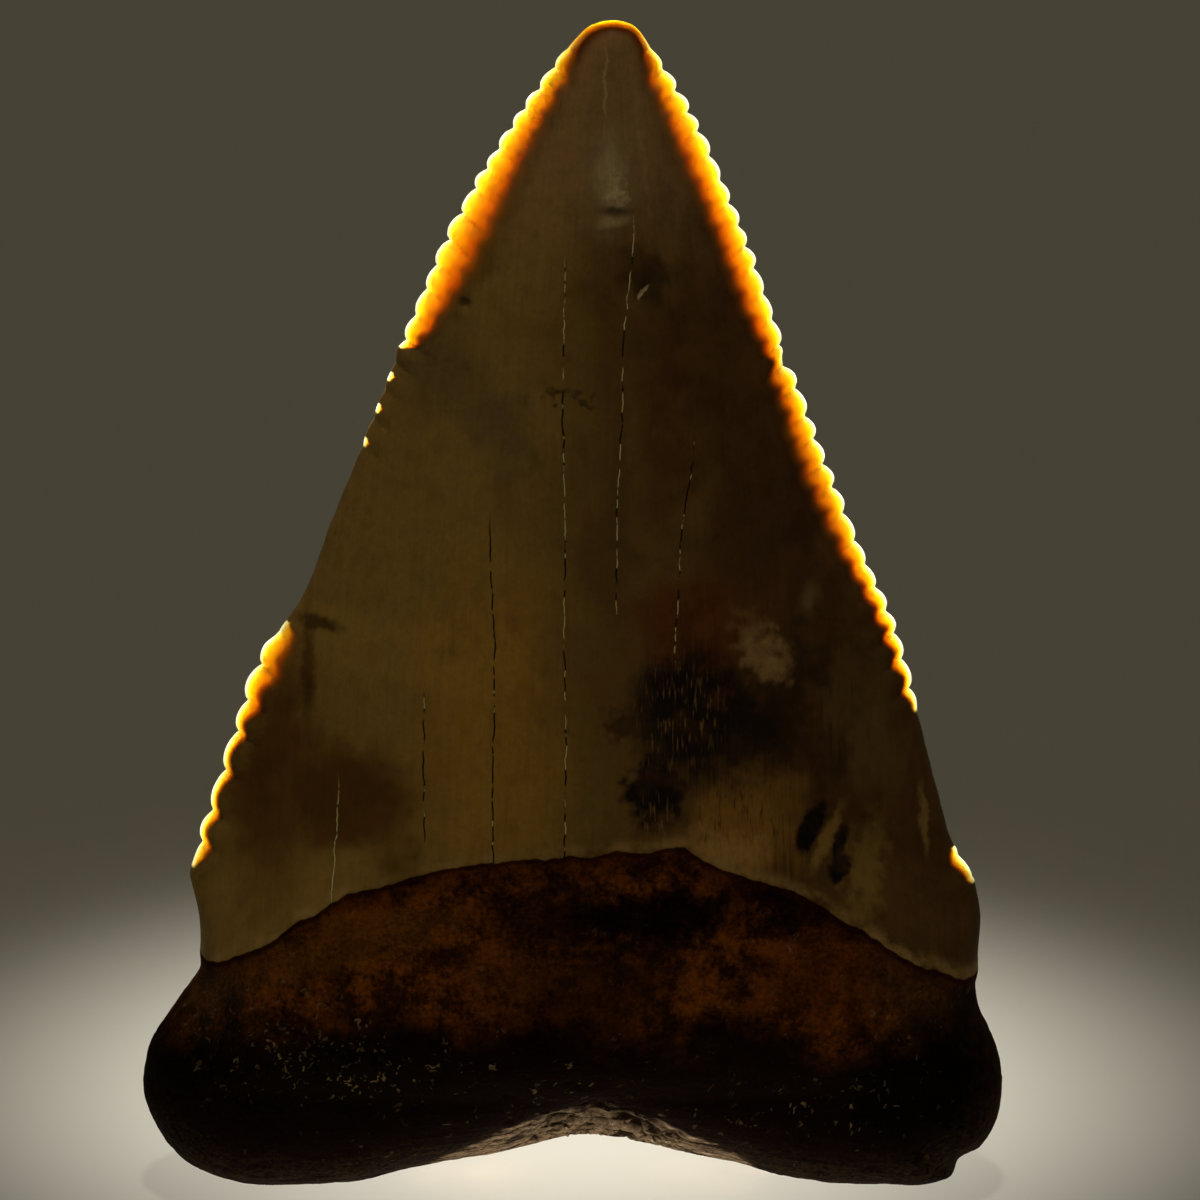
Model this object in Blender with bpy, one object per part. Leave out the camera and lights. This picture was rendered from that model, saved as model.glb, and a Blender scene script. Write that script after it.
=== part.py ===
"""Fossil great white shark tooth, standing on the two lobes of its root.

Blender 4.5, metres, +Z up. The swollen lingual face looks along -Y and the flatter labial face along +Y.
The tooth is drawn as an outline seen from the front, in millimetres, with x to the right and z up from
the surface that it stands on. Two depth functions then carry that outline forwards and backwards, and a
level cut at z = 0 leaves a small flat under each lobe.
"""

import math
import random

import bmesh
import bpy
import numpy as np
from mathutils.geometry import delaunay_2d_cdt

MM = 0.001
NODE = "tooth"

# Driving sizes, in millimetres
TIP_X = 1.6
TIP_HEIGHT = 47.55
TIP_HALF_WIDTH = 0.85
TIP_DROP = 0.2
FLAT_DIP = 0.45
EDGE_PLANE_Y = 1.5
EDGE_PLANE_LEAN = 0.10

# Middle line of each cutting edge, from the tip down to its shoulder, as (x, z)
LEFT_EDGE = (
    (-0.20, 46.5), (-2.30, 43.5), (-4.85, 39.2), (-6.58, 35.2), (-8.38, 30.6),
    (-9.85, 27.0), (-11.00, 24.0), (-12.72, 21.4), (-13.85, 18.2), (-15.00, 14.6), (-15.72, 12.3),
)
RIGHT_EDGE = (
    (3.15, 46.5), (4.90, 43.5), (6.75, 39.2), (8.25, 35.0), (9.95, 30.2),
    (11.55, 26.2), (13.10, 22.6), (14.05, 19.2), (14.95, 15.7), (15.62, 13.5), (16.45, 12.2),
)
# Root outline from the left shoulder, under the tooth, up to the right shoulder, as (x, z)
ROOT_OUTLINE = (
    (-15.32, 10.6), (-15.42, 8.9), (-16.55, 7.3), (-17.60, 5.6), (-17.80, 4.2), (-17.20, 2.3),
    (-15.90, 0.65), (-13.90, -0.30), (-11.20, -FLAT_DIP), (-8.80, -0.25), (-6.20, 0.30), (-3.00, 0.55),
    (0.70, 0.95), (3.80, 0.60), (6.60, 0.30), (9.40, -0.25), (12.20, -FLAT_DIP), (14.90, -0.32),
    (15.72, 0.10), (16.05, 0.95), (16.85, 1.50), (17.62, 2.8), (17.80, 4.3), (17.45, 5.9),
    (16.80, 7.4), (16.60, 9.2), (16.70, 10.8),
)

# Serrations: distance between two of them at the tip and at each shoulder, their depth and their shape
PITCH_TIP = 0.95
LEFT_PITCH_SHOULDER = 1.65
RIGHT_PITCH_SHOULDER = 1.25
PITCH_SPREAD = 0.14
SERRATION_DEPTH = 0.28
DEPTH_SPREAD = 0.25
HUMP_POWER = 0.55
HUMP_SKEW = 1.25
LEFT_SEED, RIGHT_SEED = 11, 5
# Share of the serration depth that is left along each edge, as (height z, share), from the tip down
LEFT_WEAR = (
    (47.0, 0.0), (46.2, 0.5), (45.0, 0.9), (34.2, 1.0), (33.6, 0.35), (30.2, 0.35), (29.6, 0.08),
    (22.6, 0.08), (22.0, 1.2), (14.0, 1.2), (13.2, 0.5), (12.5, 0.5), (12.2, 0.0),
)
RIGHT_WEAR = (
    (47.0, 0.0), (46.2, 0.5), (45.0, 1.0), (20.0, 1.0), (19.2, 0.3), (18.8, 0.08),
    (13.6, 0.08), (13.3, 0.6), (12.4, 0.6), (12.2, 0.0),
)
# A nick in the right edge, as (height z, depth, half length)
RIGHT_NICK = (33.8, 0.35, 0.35)
SERRATED_STEP = 0.19
OUTLINE_STEP = 0.65

# Where the enamel ends on each face, as (x, z)
LINGUAL_ENAMEL = (
    (-15.4, 9.3), (-12.8, 10.9), (-11.1, 12.1), (-9.0, 13.4), (-6.2, 14.3), (-3.3, 15.1),
    (0.0, 15.4), (4.5, 15.6), (5.3, 14.9), (8.8, 13.6), (12.1, 11.4), (16.6, 8.8),
)
LABIAL_ENAMEL = (
    (-15.4, 9.4), (-10.0, 10.4), (-5.0, 9.7), (0.5, 8.9), (5.5, 9.6), (10.5, 10.3), (16.6, 9.2),
)
ENAMEL_STEP = 0.22
ENAMEL_STEP_WIDTH = 0.3
ENAMEL_STEP_FADE = 1.0

# Crown, lingual and labial depth from the plane of the cutting edges
CROWN_BASE_Z = 15.4
LINGUAL_CROWN_DEPTH = 7.0
LINGUAL_TIP_DEPTH = 0.8
LABIAL_CROWN_DEPTH = 1.9
LABIAL_TIP_DEPTH = 0.55
LABIAL_CROWN_POWER = 0.8
EDGE_MARGIN = 0.3
EDGE_ROUND = 0.25

# Root
SWELL_CREST_Z = 8.3
SWELL_CENTRE = 2.7
SWELL_LOBES = 5.1
SWELL_HALF_WIDTH = 9.0
SWELL_FALL_BELOW = 0.19
SWELL_REACH_BELOW = 3.4
SWELL_FALL_ABOVE = 0.085
SWELL_REACH_ABOVE = 7.0
SWELL_ABOVE_POWER = 1.5
ROOT_ROUND_FRONT = 3.8
ROOT_ROUND_BACK = 2.4
ROOT_BACK_CENTRE = 1.6
ROOT_BACK_LOBES = 3.0
LOBE_SPAN = (3.0, 11.0)
BASAL_FACE_HEIGHT = 4.2
BASAL_FACE_X = 0.7
BASAL_FACE_HALF_WIDTH = 5.5
BASAL_FACE_FADE = (7.0, 12.0)
BASAL_FACE_POWER = 1.5

# Depth y of the plane that the root's outline lies in, and where it passes into the cutting edges' plane
ROOT_PLANE_Y = 0.95
ROOT_PLANE_NOTCH = 1.0
NOTCH_HALF_WIDTH = 6.0
ROOT_PLANE_SIDES = -0.9
ROOT_SIDE_SPAN = (13.0, 17.8)
CROWN_PLANE_SPAN = (3.0, 14.0)
NECK_BELOW = 1.0
NECK_ABOVE = 3.5

# Points that the faces are built on: how far inside the outline they lie, and how far apart
WIDEST_X = 18.0
INNER_SPACING = 1.15
COARSE_SPACING = 0.7
CROWN_RINGS = (0.3, 0.8)
ROOT_RINGS = (0.12, 0.35, 0.75, 1.4)
RING_SPACING = 0.55
ENAMEL_POINT_SPACING = 0.8
ENAMEL_ROW_OFFSET = 0.6 * ENAMEL_STEP_WIDTH
LOWEST_ROW = 0.4
CLOSEST_POINTS = 0.1
NEAR_EDGE = 0.5
FINE_SPACING = 0.2
SAME_POINT = 1e-6
CUT_TOLERANCE = 1e-7
SMOOTH_ANGLE = 50.0


def smoothstep(values, low, high):
    """0 below low, 1 above high, and a smooth rise between them."""
    share = np.clip((values - low) / (high - low), 0.0, 1.0)
    return share * share * (3.0 - 2.0 * share)


def curve_through(points, step):
    """A smooth curve through the points, as points about a step apart, the first and last kept."""
    points = np.array(points, float)
    gaps = np.linalg.norm(np.diff(points, axis=0), axis=1)
    along = np.concatenate([[0.0], np.cumsum(gaps)])
    slopes = np.gradient(points, along, axis=0)
    samples = np.linspace(0.0, along[-1], max(2, round(along[-1] / step) + 1))
    span = np.clip(np.searchsorted(along, samples, side="right") - 1, 0, len(gaps) - 1)
    length = gaps[span][:, None]
    t = ((samples - along[span]) / gaps[span])[:, None]
    start = (2 * t**3 - 3 * t**2 + 1) * points[span] + (t**3 - 2 * t**2 + t) * length * slopes[span]
    end = (3 * t**2 - 2 * t**3) * points[span + 1] + (t**3 - t**2) * length * slopes[span + 1]
    return start + end


def outward_normals(line, side):
    """Unit normals of a line of points, on the side that is +1 for right and -1 for left."""
    along = np.gradient(line, axis=0)
    normals = np.column_stack([-along[:, 1], along[:, 0]])
    normals /= np.linalg.norm(normals, axis=1)[:, None]
    return normals * np.sign(normals[:, :1] * side)


def serration_heights(line, pitch_shoulder, wear, seed):
    """How far each point of a cutting edge stands out of its middle line."""
    rng = random.Random(seed)
    gaps = np.linalg.norm(np.diff(line, axis=0), axis=1)
    along = np.concatenate([[0.0], np.cumsum(gaps)])
    heights = np.zeros(len(line))
    start = 0.0
    while start < along[-1]:
        pitch = PITCH_TIP + (pitch_shoulder - PITCH_TIP) * start / along[-1]
        pitch *= 1.0 + PITCH_SPREAD * rng.uniform(-1.0, 1.0)
        depth = SERRATION_DEPTH * (1.0 + DEPTH_SPREAD * rng.uniform(-1.0, 1.0))
        inside = (along >= start) & (along < start + pitch)
        phase = (along[inside] - start) / pitch
        heights[inside] = depth * (np.sin(np.pi * phase**HUMP_SKEW) ** HUMP_POWER - 0.5)
        start += pitch
    wear_z, wear_share = np.array(wear[::-1]).T
    return heights * np.interp(line[:, 1], wear_z, wear_share)


def cutting_edge(points, side, pitch_shoulder, wear, seed, nick=None):
    """The serrated edge from the tip down to its shoulder."""
    line = curve_through(points, SERRATED_STEP)
    heights = serration_heights(line, pitch_shoulder, wear, seed)
    if nick:
        height, depth, half = nick
        heights -= depth * np.exp(-(((line[:, 1] - height) / half) ** 2))
    return line + outward_normals(line, side) * heights[:, None]


def tip_arc():
    """The rounded tip, from the right cutting edge over to the left one."""
    right, left = np.array(RIGHT_EDGE[0]), np.array(LEFT_EDGE[0])
    top = np.array((TIP_X, TIP_HEIGHT))
    beside = [top + (side * TIP_HALF_WIDTH, -TIP_DROP) for side in (1, -1)]
    return curve_through((right, beside[0], top, beside[1], left), SERRATED_STEP)[1:-1]


def front_outline():
    """The whole outline, anticlockwise seen from the front, and how many of its points are crown."""
    right = cutting_edge(RIGHT_EDGE, 1, RIGHT_PITCH_SHOULDER, RIGHT_WEAR, RIGHT_SEED, RIGHT_NICK)[::-1]
    left = cutting_edge(LEFT_EDGE, -1, LEFT_PITCH_SHOULDER, LEFT_WEAR, LEFT_SEED)
    root = curve_through((LEFT_EDGE[-1],) + ROOT_OUTLINE + (RIGHT_EDGE[-1],), OUTLINE_STEP)[1:-1]
    crown = np.vstack([right, tip_arc(), left])
    return np.vstack([crown, root]), len(crown)


def distance_to(outline, points):
    """Distance from each point to the closed outline."""
    start, end = outline, np.roll(outline, -1, axis=0)
    along = end - start
    offset = points[:, None, :] - start[None, :, :]
    share = (offset * along).sum(axis=2) / (along**2).sum(axis=1)
    nearest = offset - np.clip(share, 0.0, 1.0)[:, :, None] * along
    return np.sqrt((nearest**2).sum(axis=2).min(axis=1))


def inside(outline, points):
    """Whether each point lies inside the closed outline."""
    start, end = outline, np.roll(outline, -1, axis=0)
    x, z = points[:, :1], points[:, 1:]
    spans = (start[:, 1] > z) != (end[:, 1] > z)
    rise = end[:, 1] - start[:, 1]
    rise = np.where(rise == 0.0, 1.0, rise)
    crossing = start[:, 0] + (z - start[:, 1]) * (end[:, 0] - start[:, 0]) / rise
    return (spans & (x < crossing)).sum(axis=1) % 2 == 1


def middle_plane(x, z):
    """Depth y of the surface that the outline lies in: cutting edges above, the root's edge below."""
    notch = np.exp(-(((x - BASAL_FACE_X) / NOTCH_HALF_WIDTH) ** 2))
    root = ROOT_PLANE_Y + ROOT_PLANE_NOTCH * notch + ROOT_PLANE_SIDES * smoothstep(abs(x), *ROOT_SIDE_SPAN)
    crown = EDGE_PLANE_Y + EDGE_PLANE_LEAN * z
    return root + (crown - root) * smoothstep(z, *CROWN_PLANE_SPAN)


def across_crown(x, z):
    """Share of the crown's depth across its width: 1 in the middle, nearly 0 at the cutting edges."""
    left_x, left_z = np.array(LEFT_EDGE[::-1]).T
    right_x, right_z = np.array(RIGHT_EDGE[::-1]).T
    left = np.interp(z, left_z, left_x) - EDGE_MARGIN
    right = np.interp(z, right_z, right_x) + EDGE_MARGIN
    offset = (x - (left + right) / 2) / ((right - left) / 2)
    return np.clip(1.0 - offset**2, 0.0, 1.0)


def rounded(distance, radius, power=0.5):
    """Rise of a rounded edge, from 0 at the edge to 1 a radius inside it."""
    share = np.clip(distance / radius, 0.0, 1.0)
    return (1.0 - (1.0 - share) ** 2) ** power


def crown_share(x, z, enamel):
    """0 in the root, 1 in the crown, and the blend of the two at the neck."""
    line = np.interp(x, *np.array(enamel).T)
    return smoothstep(z, line - NECK_BELOW, line + NECK_ABOVE)


def enamel_step(x, z, distance, enamel):
    """How far the enamel stands proud of the root."""
    line = np.interp(x, *np.array(enamel).T)
    half = ENAMEL_STEP_WIDTH / 2
    return ENAMEL_STEP * smoothstep(z, line - half, line + half) * rounded(distance, ENAMEL_STEP_FADE, 1.0)


def lingual_depth(x, z, distance):
    """Depth of the swollen face in front of the middle plane."""
    taper = np.clip((TIP_HEIGHT - z) / (TIP_HEIGHT - CROWN_BASE_Z), 0.0, 1.0)
    crown = LINGUAL_TIP_DEPTH + (LINGUAL_CROWN_DEPTH - LINGUAL_TIP_DEPTH) * taper
    crown = crown * across_crown(x, z) * rounded(distance, EDGE_ROUND)
    swell = SWELL_LOBES + SWELL_CENTRE * np.exp(-((x / SWELL_HALF_WIDTH) ** 2))
    below = SWELL_FALL_BELOW * np.clip((SWELL_CREST_Z - z) / SWELL_REACH_BELOW, 0.0, 1.0) ** 2
    above = np.clip((z - SWELL_CREST_Z) / SWELL_REACH_ABOVE, 0.0, SWELL_ABOVE_POWER) ** SWELL_ABOVE_POWER
    basal = np.exp(-(((x - BASAL_FACE_X) / BASAL_FACE_HALF_WIDTH) ** 2))
    basal = basal * (1.0 - smoothstep(z, *BASAL_FACE_FADE))
    slant = 1.0 - (1.0 - np.clip(distance / BASAL_FACE_HEIGHT, 0.0, 1.0)) ** BASAL_FACE_POWER
    lobe = rounded(distance, ROOT_ROUND_FRONT)
    root = swell * (1.0 - below - SWELL_FALL_ABOVE * above) * (lobe + (slant - lobe) * basal)
    share = crown_share(x, z, LINGUAL_ENAMEL)
    return root + (crown - root) * share + enamel_step(x, z, distance, LINGUAL_ENAMEL)


def labial_depth(x, z, distance):
    """Depth of the flatter face behind the middle plane."""
    taper = np.clip((TIP_HEIGHT - z) / (TIP_HEIGHT - CROWN_BASE_Z), 0.0, 1.0)
    crown = LABIAL_TIP_DEPTH + (LABIAL_CROWN_DEPTH - LABIAL_TIP_DEPTH) * taper
    crown = crown * across_crown(x, z) ** LABIAL_CROWN_POWER * rounded(distance, EDGE_ROUND)
    root = ROOT_BACK_CENTRE + (ROOT_BACK_LOBES - ROOT_BACK_CENTRE) * smoothstep(abs(x), *LOBE_SPAN)
    root = root * rounded(distance, ROOT_ROUND_BACK)
    share = crown_share(x, z, LABIAL_ENAMEL)
    return root + (crown - root) * share + enamel_step(x, z, distance, LABIAL_ENAMEL)


def thinned(points, spacing):
    """The points in their order, without those nearer than a spacing to one that is kept."""
    kept = []
    cells = {}
    for x, z in points:
        column, row = math.floor(x / spacing), math.floor(z / spacing)
        beside = [(column + i, row + j) for i in (-1, 0, 1) for j in (-1, 0, 1)]
        near = [point for cell in beside for point in cells.get(cell, ())]
        if all(math.hypot(x - near_x, z - near_z) >= spacing for near_x, near_z in near):
            kept.append((x, z))
            cells.setdefault((column, row), []).append((x, z))
    return kept


def ring_points(line, outwards, distances):
    """Points at each distance inside a stretch of outline, further apart the deeper they lie."""
    found = []
    for distance in distances:
        spacing = RING_SPACING + distance / 2
        step = max(1, round(spacing / np.linalg.norm(line[1] - line[0])))
        found.extend((line - outwards * distance)[::step])
    return found


def root_rings(outline, crown_count):
    """Rings of points that round off the root."""
    along = np.roll(outline, -1, axis=0) - np.roll(outline, 1, axis=0)
    outwards = np.column_stack([along[:, 1], -along[:, 0]])
    outwards /= np.linalg.norm(outwards, axis=1)[:, None]
    return ring_points(outline[crown_count:], outwards[crown_count:], ROOT_RINGS)


def crown_rings():
    """Rings of points behind the serrations of both cutting edges."""
    found = []
    for points, side in ((LEFT_EDGE, -1), (RIGHT_EDGE, 1)):
        line = curve_through(points, SERRATED_STEP)
        found += ring_points(line, outward_normals(line, side), CROWN_RINGS)
    return found


def enamel_rows(enamel):
    """Two rows of points that hold the step where the enamel ends."""
    x = np.arange(-WIDEST_X, WIDEST_X, ENAMEL_POINT_SPACING)
    z = np.interp(x, *np.array(enamel).T)
    offsets = (-ENAMEL_ROW_OFFSET, ENAMEL_ROW_OFFSET)
    return [point for offset in offsets for point in np.column_stack([x, z + offset])]


def lattice():
    """Points evenly spaced over the whole face."""
    found = []
    for index, z in enumerate(np.arange(LOWEST_ROW, TIP_HEIGHT, INNER_SPACING * math.sqrt(3) / 2)):
        start = -WIDEST_X + (index % 2) * INNER_SPACING / 2
        found += [(x, z) for x in np.arange(start, WIDEST_X, INNER_SPACING)]
    return found


def inner_points(outline, crown_count, enamel):
    """The points inside the outline that one face is built on."""
    found = root_rings(outline, crown_count) + crown_rings() + enamel_rows(enamel) + lattice()
    found = np.array(found)
    found = found[inside(outline, found)]
    clear = distance_to(outline, found)
    fine = thinned(found[(clear > CLOSEST_POINTS) & (clear < NEAR_EDGE)], FINE_SPACING)
    coarse = thinned(found[clear >= NEAR_EDGE], COARSE_SPACING)
    return np.array(fine + coarse)


def triangulated(outline, inner):
    """Points and triangles that fill the outline, with no edge that joins two of its points across it."""
    count = len(outline)
    loop = list(range(count))
    edges = list(zip(loop, loop[1:] + loop[:1]))
    sides = {frozenset(edge) for edge in edges}
    points = [tuple(p) for p in outline] + [tuple(p) for p in inner]
    while True:
        flat, _, triangles, origins, _, _ = delaunay_2d_cdt(points, edges, [], 1, SAME_POINT)
        source = [min(origin) for origin in origins]
        ends = {
            frozenset((source[a], source[b]))
            for triangle in triangles
            for a, b in zip(triangle, triangle[1:] + triangle[:1])
        }
        across = [pair for pair in ends if max(pair) < count and pair not in sides]
        if not across:
            return np.array(flat), triangles, source
        points += [tuple(np.mean([points[i] for i in pair], axis=0)) for pair in sorted(across, key=sorted)]


def add_face(mesh, rim, outline, crown_count, enamel, depth, side):
    """Adds one face of the tooth to the mesh, on its side of the middle plane: -1 front, +1 back."""
    inner = inner_points(outline, crown_count, enamel)
    flat, triangles, source = triangulated(outline, inner)
    x, z = flat.T
    y = middle_plane(x, z) + side * depth(x, z, distance_to(outline, flat))
    corners = []
    for index, origin in enumerate(source):
        if origin < len(outline):
            corners.append(rim[origin])
        else:
            corners.append(mesh.verts.new((x[index] * MM, y[index] * MM, z[index] * MM)))
    for triangle in triangles:
        mesh.faces.new([corners[i] for i in triangle])


def stand_on_floor(mesh):
    """Cuts the lobes level at z = 0 and closes the two flats."""
    everything = mesh.verts[:] + mesh.edges[:] + mesh.faces[:]
    floor, down = (0.0, 0.0, 0.0), (0.0, 0.0, -1.0)
    bmesh.ops.bisect_plane(
        mesh, geom=everything, dist=CUT_TOLERANCE, plane_co=floor, plane_no=down, clear_outer=True
    )
    open_edges = [edge for edge in mesh.edges if edge.is_boundary]
    bmesh.ops.holes_fill(mesh, edges=open_edges, sides=0)


def centre_over_origin(mesh):
    """Moves the tooth so that the middle of its box lies over the origin."""
    for axis in (0, 1):
        values = [vert.co[axis] for vert in mesh.verts]
        shift = (min(values) + max(values)) / 2
        for vert in mesh.verts:
            vert.co[axis] -= shift


def tooth_mesh():
    """The closed mesh of the tooth."""
    outline, crown_count = front_outline()
    mesh = bmesh.new()
    x, z = outline.T
    rim = [mesh.verts.new((px * MM, py * MM, pz * MM)) for px, py, pz in zip(x, middle_plane(x, z), z)]
    add_face(mesh, rim, outline, crown_count, LINGUAL_ENAMEL, lingual_depth, -1)
    add_face(mesh, rim, outline, crown_count, LABIAL_ENAMEL, labial_depth, 1)
    bmesh.ops.recalc_face_normals(mesh, faces=mesh.faces)
    stand_on_floor(mesh)
    bmesh.ops.triangulate(mesh, faces=mesh.faces)
    bmesh.ops.recalc_face_normals(mesh, faces=mesh.faces)
    centre_over_origin(mesh)
    return mesh


def fossil_material():
    """Olive-brown fossil enamel and root, as one colour."""
    material = bpy.data.materials.new("fossil_tooth")
    material.use_nodes = True
    shader = material.node_tree.nodes["Principled BSDF"]
    shader.inputs["Base Color"].default_value = (0.11, 0.07, 0.03, 1.0)
    shader.inputs["Roughness"].default_value = 0.4
    shader.inputs["Metallic"].default_value = 0.0
    return material


def main():
    for old in list(bpy.data.objects):
        bpy.data.objects.remove(old)
    data = bpy.data.meshes.new(NODE)
    mesh = tooth_mesh()
    mesh.to_mesh(data)
    mesh.free()
    data.shade_smooth()
    data.set_sharp_from_angle(angle=math.radians(SMOOTH_ANGLE))
    data.materials.append(fossil_material())
    tooth = bpy.data.objects.new(NODE, data)
    bpy.context.collection.objects.link(tooth)


main()
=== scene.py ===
"""Looks of a fossil great white shark tooth that stands on the two lobes of its root.

The swollen lingual face looks along -Y and the flatter labial face along +Y. Sizes are in millimetres, with
x to the right and z up from the surface that the tooth stands on, seen from the lingual side. The tooth is
drawn from the same outline and depths as its solid, on a much finer net. A Geometry Nodes tree then carves
its waves, grooves, pores and fibres, and one material dresses enamel and root.
"""

import logging
import math
import random
from dataclasses import dataclass
from enum import Enum
from typing import Any, ClassVar

import bpy
import numpy as np
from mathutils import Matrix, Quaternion, Vector, noise
from mathutils.geometry import delaunay_2d_cdt
from mathutils.kdtree import KDTree


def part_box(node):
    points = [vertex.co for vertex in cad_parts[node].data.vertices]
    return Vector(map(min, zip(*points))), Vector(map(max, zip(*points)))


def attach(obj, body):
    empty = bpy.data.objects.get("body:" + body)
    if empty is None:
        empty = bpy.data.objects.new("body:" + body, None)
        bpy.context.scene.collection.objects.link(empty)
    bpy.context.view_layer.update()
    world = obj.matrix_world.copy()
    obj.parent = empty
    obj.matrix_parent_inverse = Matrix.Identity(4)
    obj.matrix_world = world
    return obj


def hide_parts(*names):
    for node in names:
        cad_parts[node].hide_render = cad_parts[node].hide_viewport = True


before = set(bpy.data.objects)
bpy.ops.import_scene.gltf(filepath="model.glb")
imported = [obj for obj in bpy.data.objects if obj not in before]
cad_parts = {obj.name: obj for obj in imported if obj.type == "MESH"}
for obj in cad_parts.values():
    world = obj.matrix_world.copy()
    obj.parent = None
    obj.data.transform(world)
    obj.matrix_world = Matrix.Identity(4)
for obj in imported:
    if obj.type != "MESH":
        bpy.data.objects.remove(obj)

MM = 0.001
NODE = "tooth"
BODY = "root"

Line = tuple[tuple[float, float], ...]
Point = tuple[float, float, float]
Colour = tuple[float, float, float]

log = logging.getLogger("tooth")


class Face(Enum):
    """The two faces of the tooth, as the side of the middle plane that they lie on."""

    LINGUAL = -1
    LABIAL = 1


def smoothstep(values: np.ndarray, low: float, high: float) -> np.ndarray:
    """0 below low, 1 above high, and a smooth rise between them."""
    share = np.clip((values - low) / (high - low), 0.0, 1.0)
    return share * share * (3.0 - 2.0 * share)


def rounded(distance: np.ndarray, radius: float, power: float = 0.5) -> np.ndarray:
    """Rise of a rounded edge, from 0 at the edge to 1 a radius inside it."""
    share = np.clip(distance / radius, 0.0, 1.0)
    return (1.0 - (1.0 - share) ** 2) ** power


def length_along(line: np.ndarray) -> np.ndarray:
    """How far along a line each of its points lies."""
    return np.concatenate([[0.0], np.cumsum(np.linalg.norm(np.diff(line, axis=0), axis=1))])


def curve_through(points: Line, step: float) -> np.ndarray:
    """Draws a smooth curve through points.

    Args:
        points: The points, in order.
        step: About how far apart the curve's points are.

    Returns:
        The curve's points, one per row, with the first and last point kept.
    """
    corners = np.array(points, float)
    along = length_along(corners)
    slopes = np.gradient(corners, along, axis=0)
    samples = np.linspace(0.0, along[-1], max(2, round(along[-1] / step) + 1))
    span = np.clip(np.searchsorted(along, samples, side="right") - 1, 0, len(along) - 2)
    length = np.diff(along)[span][:, None]
    t = (samples - along[span])[:, None] / length
    start = (2 * t**3 - 3 * t**2 + 1) * corners[span] + (t**3 - 2 * t**2 + t) * length * slopes[span]
    end = (3 * t**2 - 2 * t**3) * corners[span + 1] + (t**3 - t**2) * length * slopes[span + 1]
    return start + end


def outward_normals(line: np.ndarray, side: int) -> np.ndarray:
    """Unit normals of a line of points, on one side of it.

    Args:
        line: The line's points.
        side: 1 for normals to the right and -1 for ones to the left.

    Returns:
        A normal for each point.
    """
    along = np.gradient(line, axis=0)
    normals = np.column_stack([-along[:, 1], along[:, 0]])
    normals /= np.linalg.norm(normals, axis=1)[:, None]
    return normals * np.sign(normals[:, :1] * side)


def lookup(points: np.ndarray) -> KDTree:
    """Builds a tree that finds the nearest of flat points.

    Args:
        points: The points, as (x, z).

    Returns:
        The tree.
    """
    tree = KDTree(len(points))
    for index, (x, z) in enumerate(points):
        tree.insert((x, z, 0.0), index)
    tree.balance()
    return tree


def level_at(table: Line, height: np.ndarray) -> np.ndarray:
    """Reads a table of (height, share) rows that runs down from the tip."""
    heights, shares = np.array(table[::-1]).T
    return np.interp(height, heights, shares)


def turned_over(points: Line) -> Line:
    """Points (x, z) as rows (z, x), so that level_at() reads x at a height."""
    return tuple((z, x) for x, z in points)


@dataclass(frozen=True)
class CuttingEdge:
    """One serrated edge of the crown, from the tip down to its shoulder.

    Attributes:
        points: Middle line of the serrations, as (x, z).
        side: 1 for the right edge and -1 for the left one.
        wear: Share of the serrations' depth that is left, as (z, share).
        amber: How far in from the edge light comes through, as (z, distance).
        seed: Seed of the serrations' spread.
        pitch_shoulder: Distance between two serrations at the shoulder.
        nick: A nick's height, depth and half length, if there is one.
    """

    points: Line
    side: int
    wear: Line
    amber: Line
    seed: int
    pitch_shoulder: float
    nick: tuple[float, float, float] | None = None
    pitch_tip: float = 0.95
    pitch_spread: float = 0.14
    depth: float = 0.28
    depth_spread: float = 0.25
    hump_power: float = 0.55
    hump_skew: float = 1.25
    groove_length: float = 0.7
    step: float = 0.095

    def line(self) -> np.ndarray:
        """Points of the middle line, a step apart."""
        return curve_through(self.points, self.step)

    def humps(self, line: np.ndarray) -> tuple[np.ndarray, np.ndarray]:
        """Sets out the serrations along the edge.

        Args:
            line: Points of the middle line.

        Returns:
            For each point, how high it is on its serration, from 0 in a notch to 1 on the crest, and
            how deep that serration is.
        """
        rng = random.Random(self.seed)
        along = length_along(line)
        crest, depth = np.zeros(len(line)), np.zeros(len(line))
        start = 0.0
        while start < along[-1]:
            pitch = self.pitch_tip + (self.pitch_shoulder - self.pitch_tip) * start / along[-1]
            pitch *= 1.0 + self.pitch_spread * rng.uniform(-1.0, 1.0)
            size = self.depth * (1.0 + self.depth_spread * rng.uniform(-1.0, 1.0))
            within = (along >= start) & (along < start + pitch)
            phase = (along[within] - start) / pitch
            crest[within] = np.sin(np.pi * phase**self.hump_skew) ** self.hump_power
            depth[within] = size
            start += pitch
        return crest, depth * level_at(self.wear, line[:, 1])

    def serrated(self) -> np.ndarray:
        """Points of the serrated edge itself, from the tip down.

        Returns:
            The edge's points.
        """
        line = self.line()
        crest, depth = self.humps(line)
        heights = (crest - 0.5) * depth
        if self.nick:
            height, nick_depth, half = self.nick
            heights -= nick_depth * np.exp(-(((line[:, 1] - height) / half) ** 2))
        return line + outward_normals(line, self.side) * heights[:, None]


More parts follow.
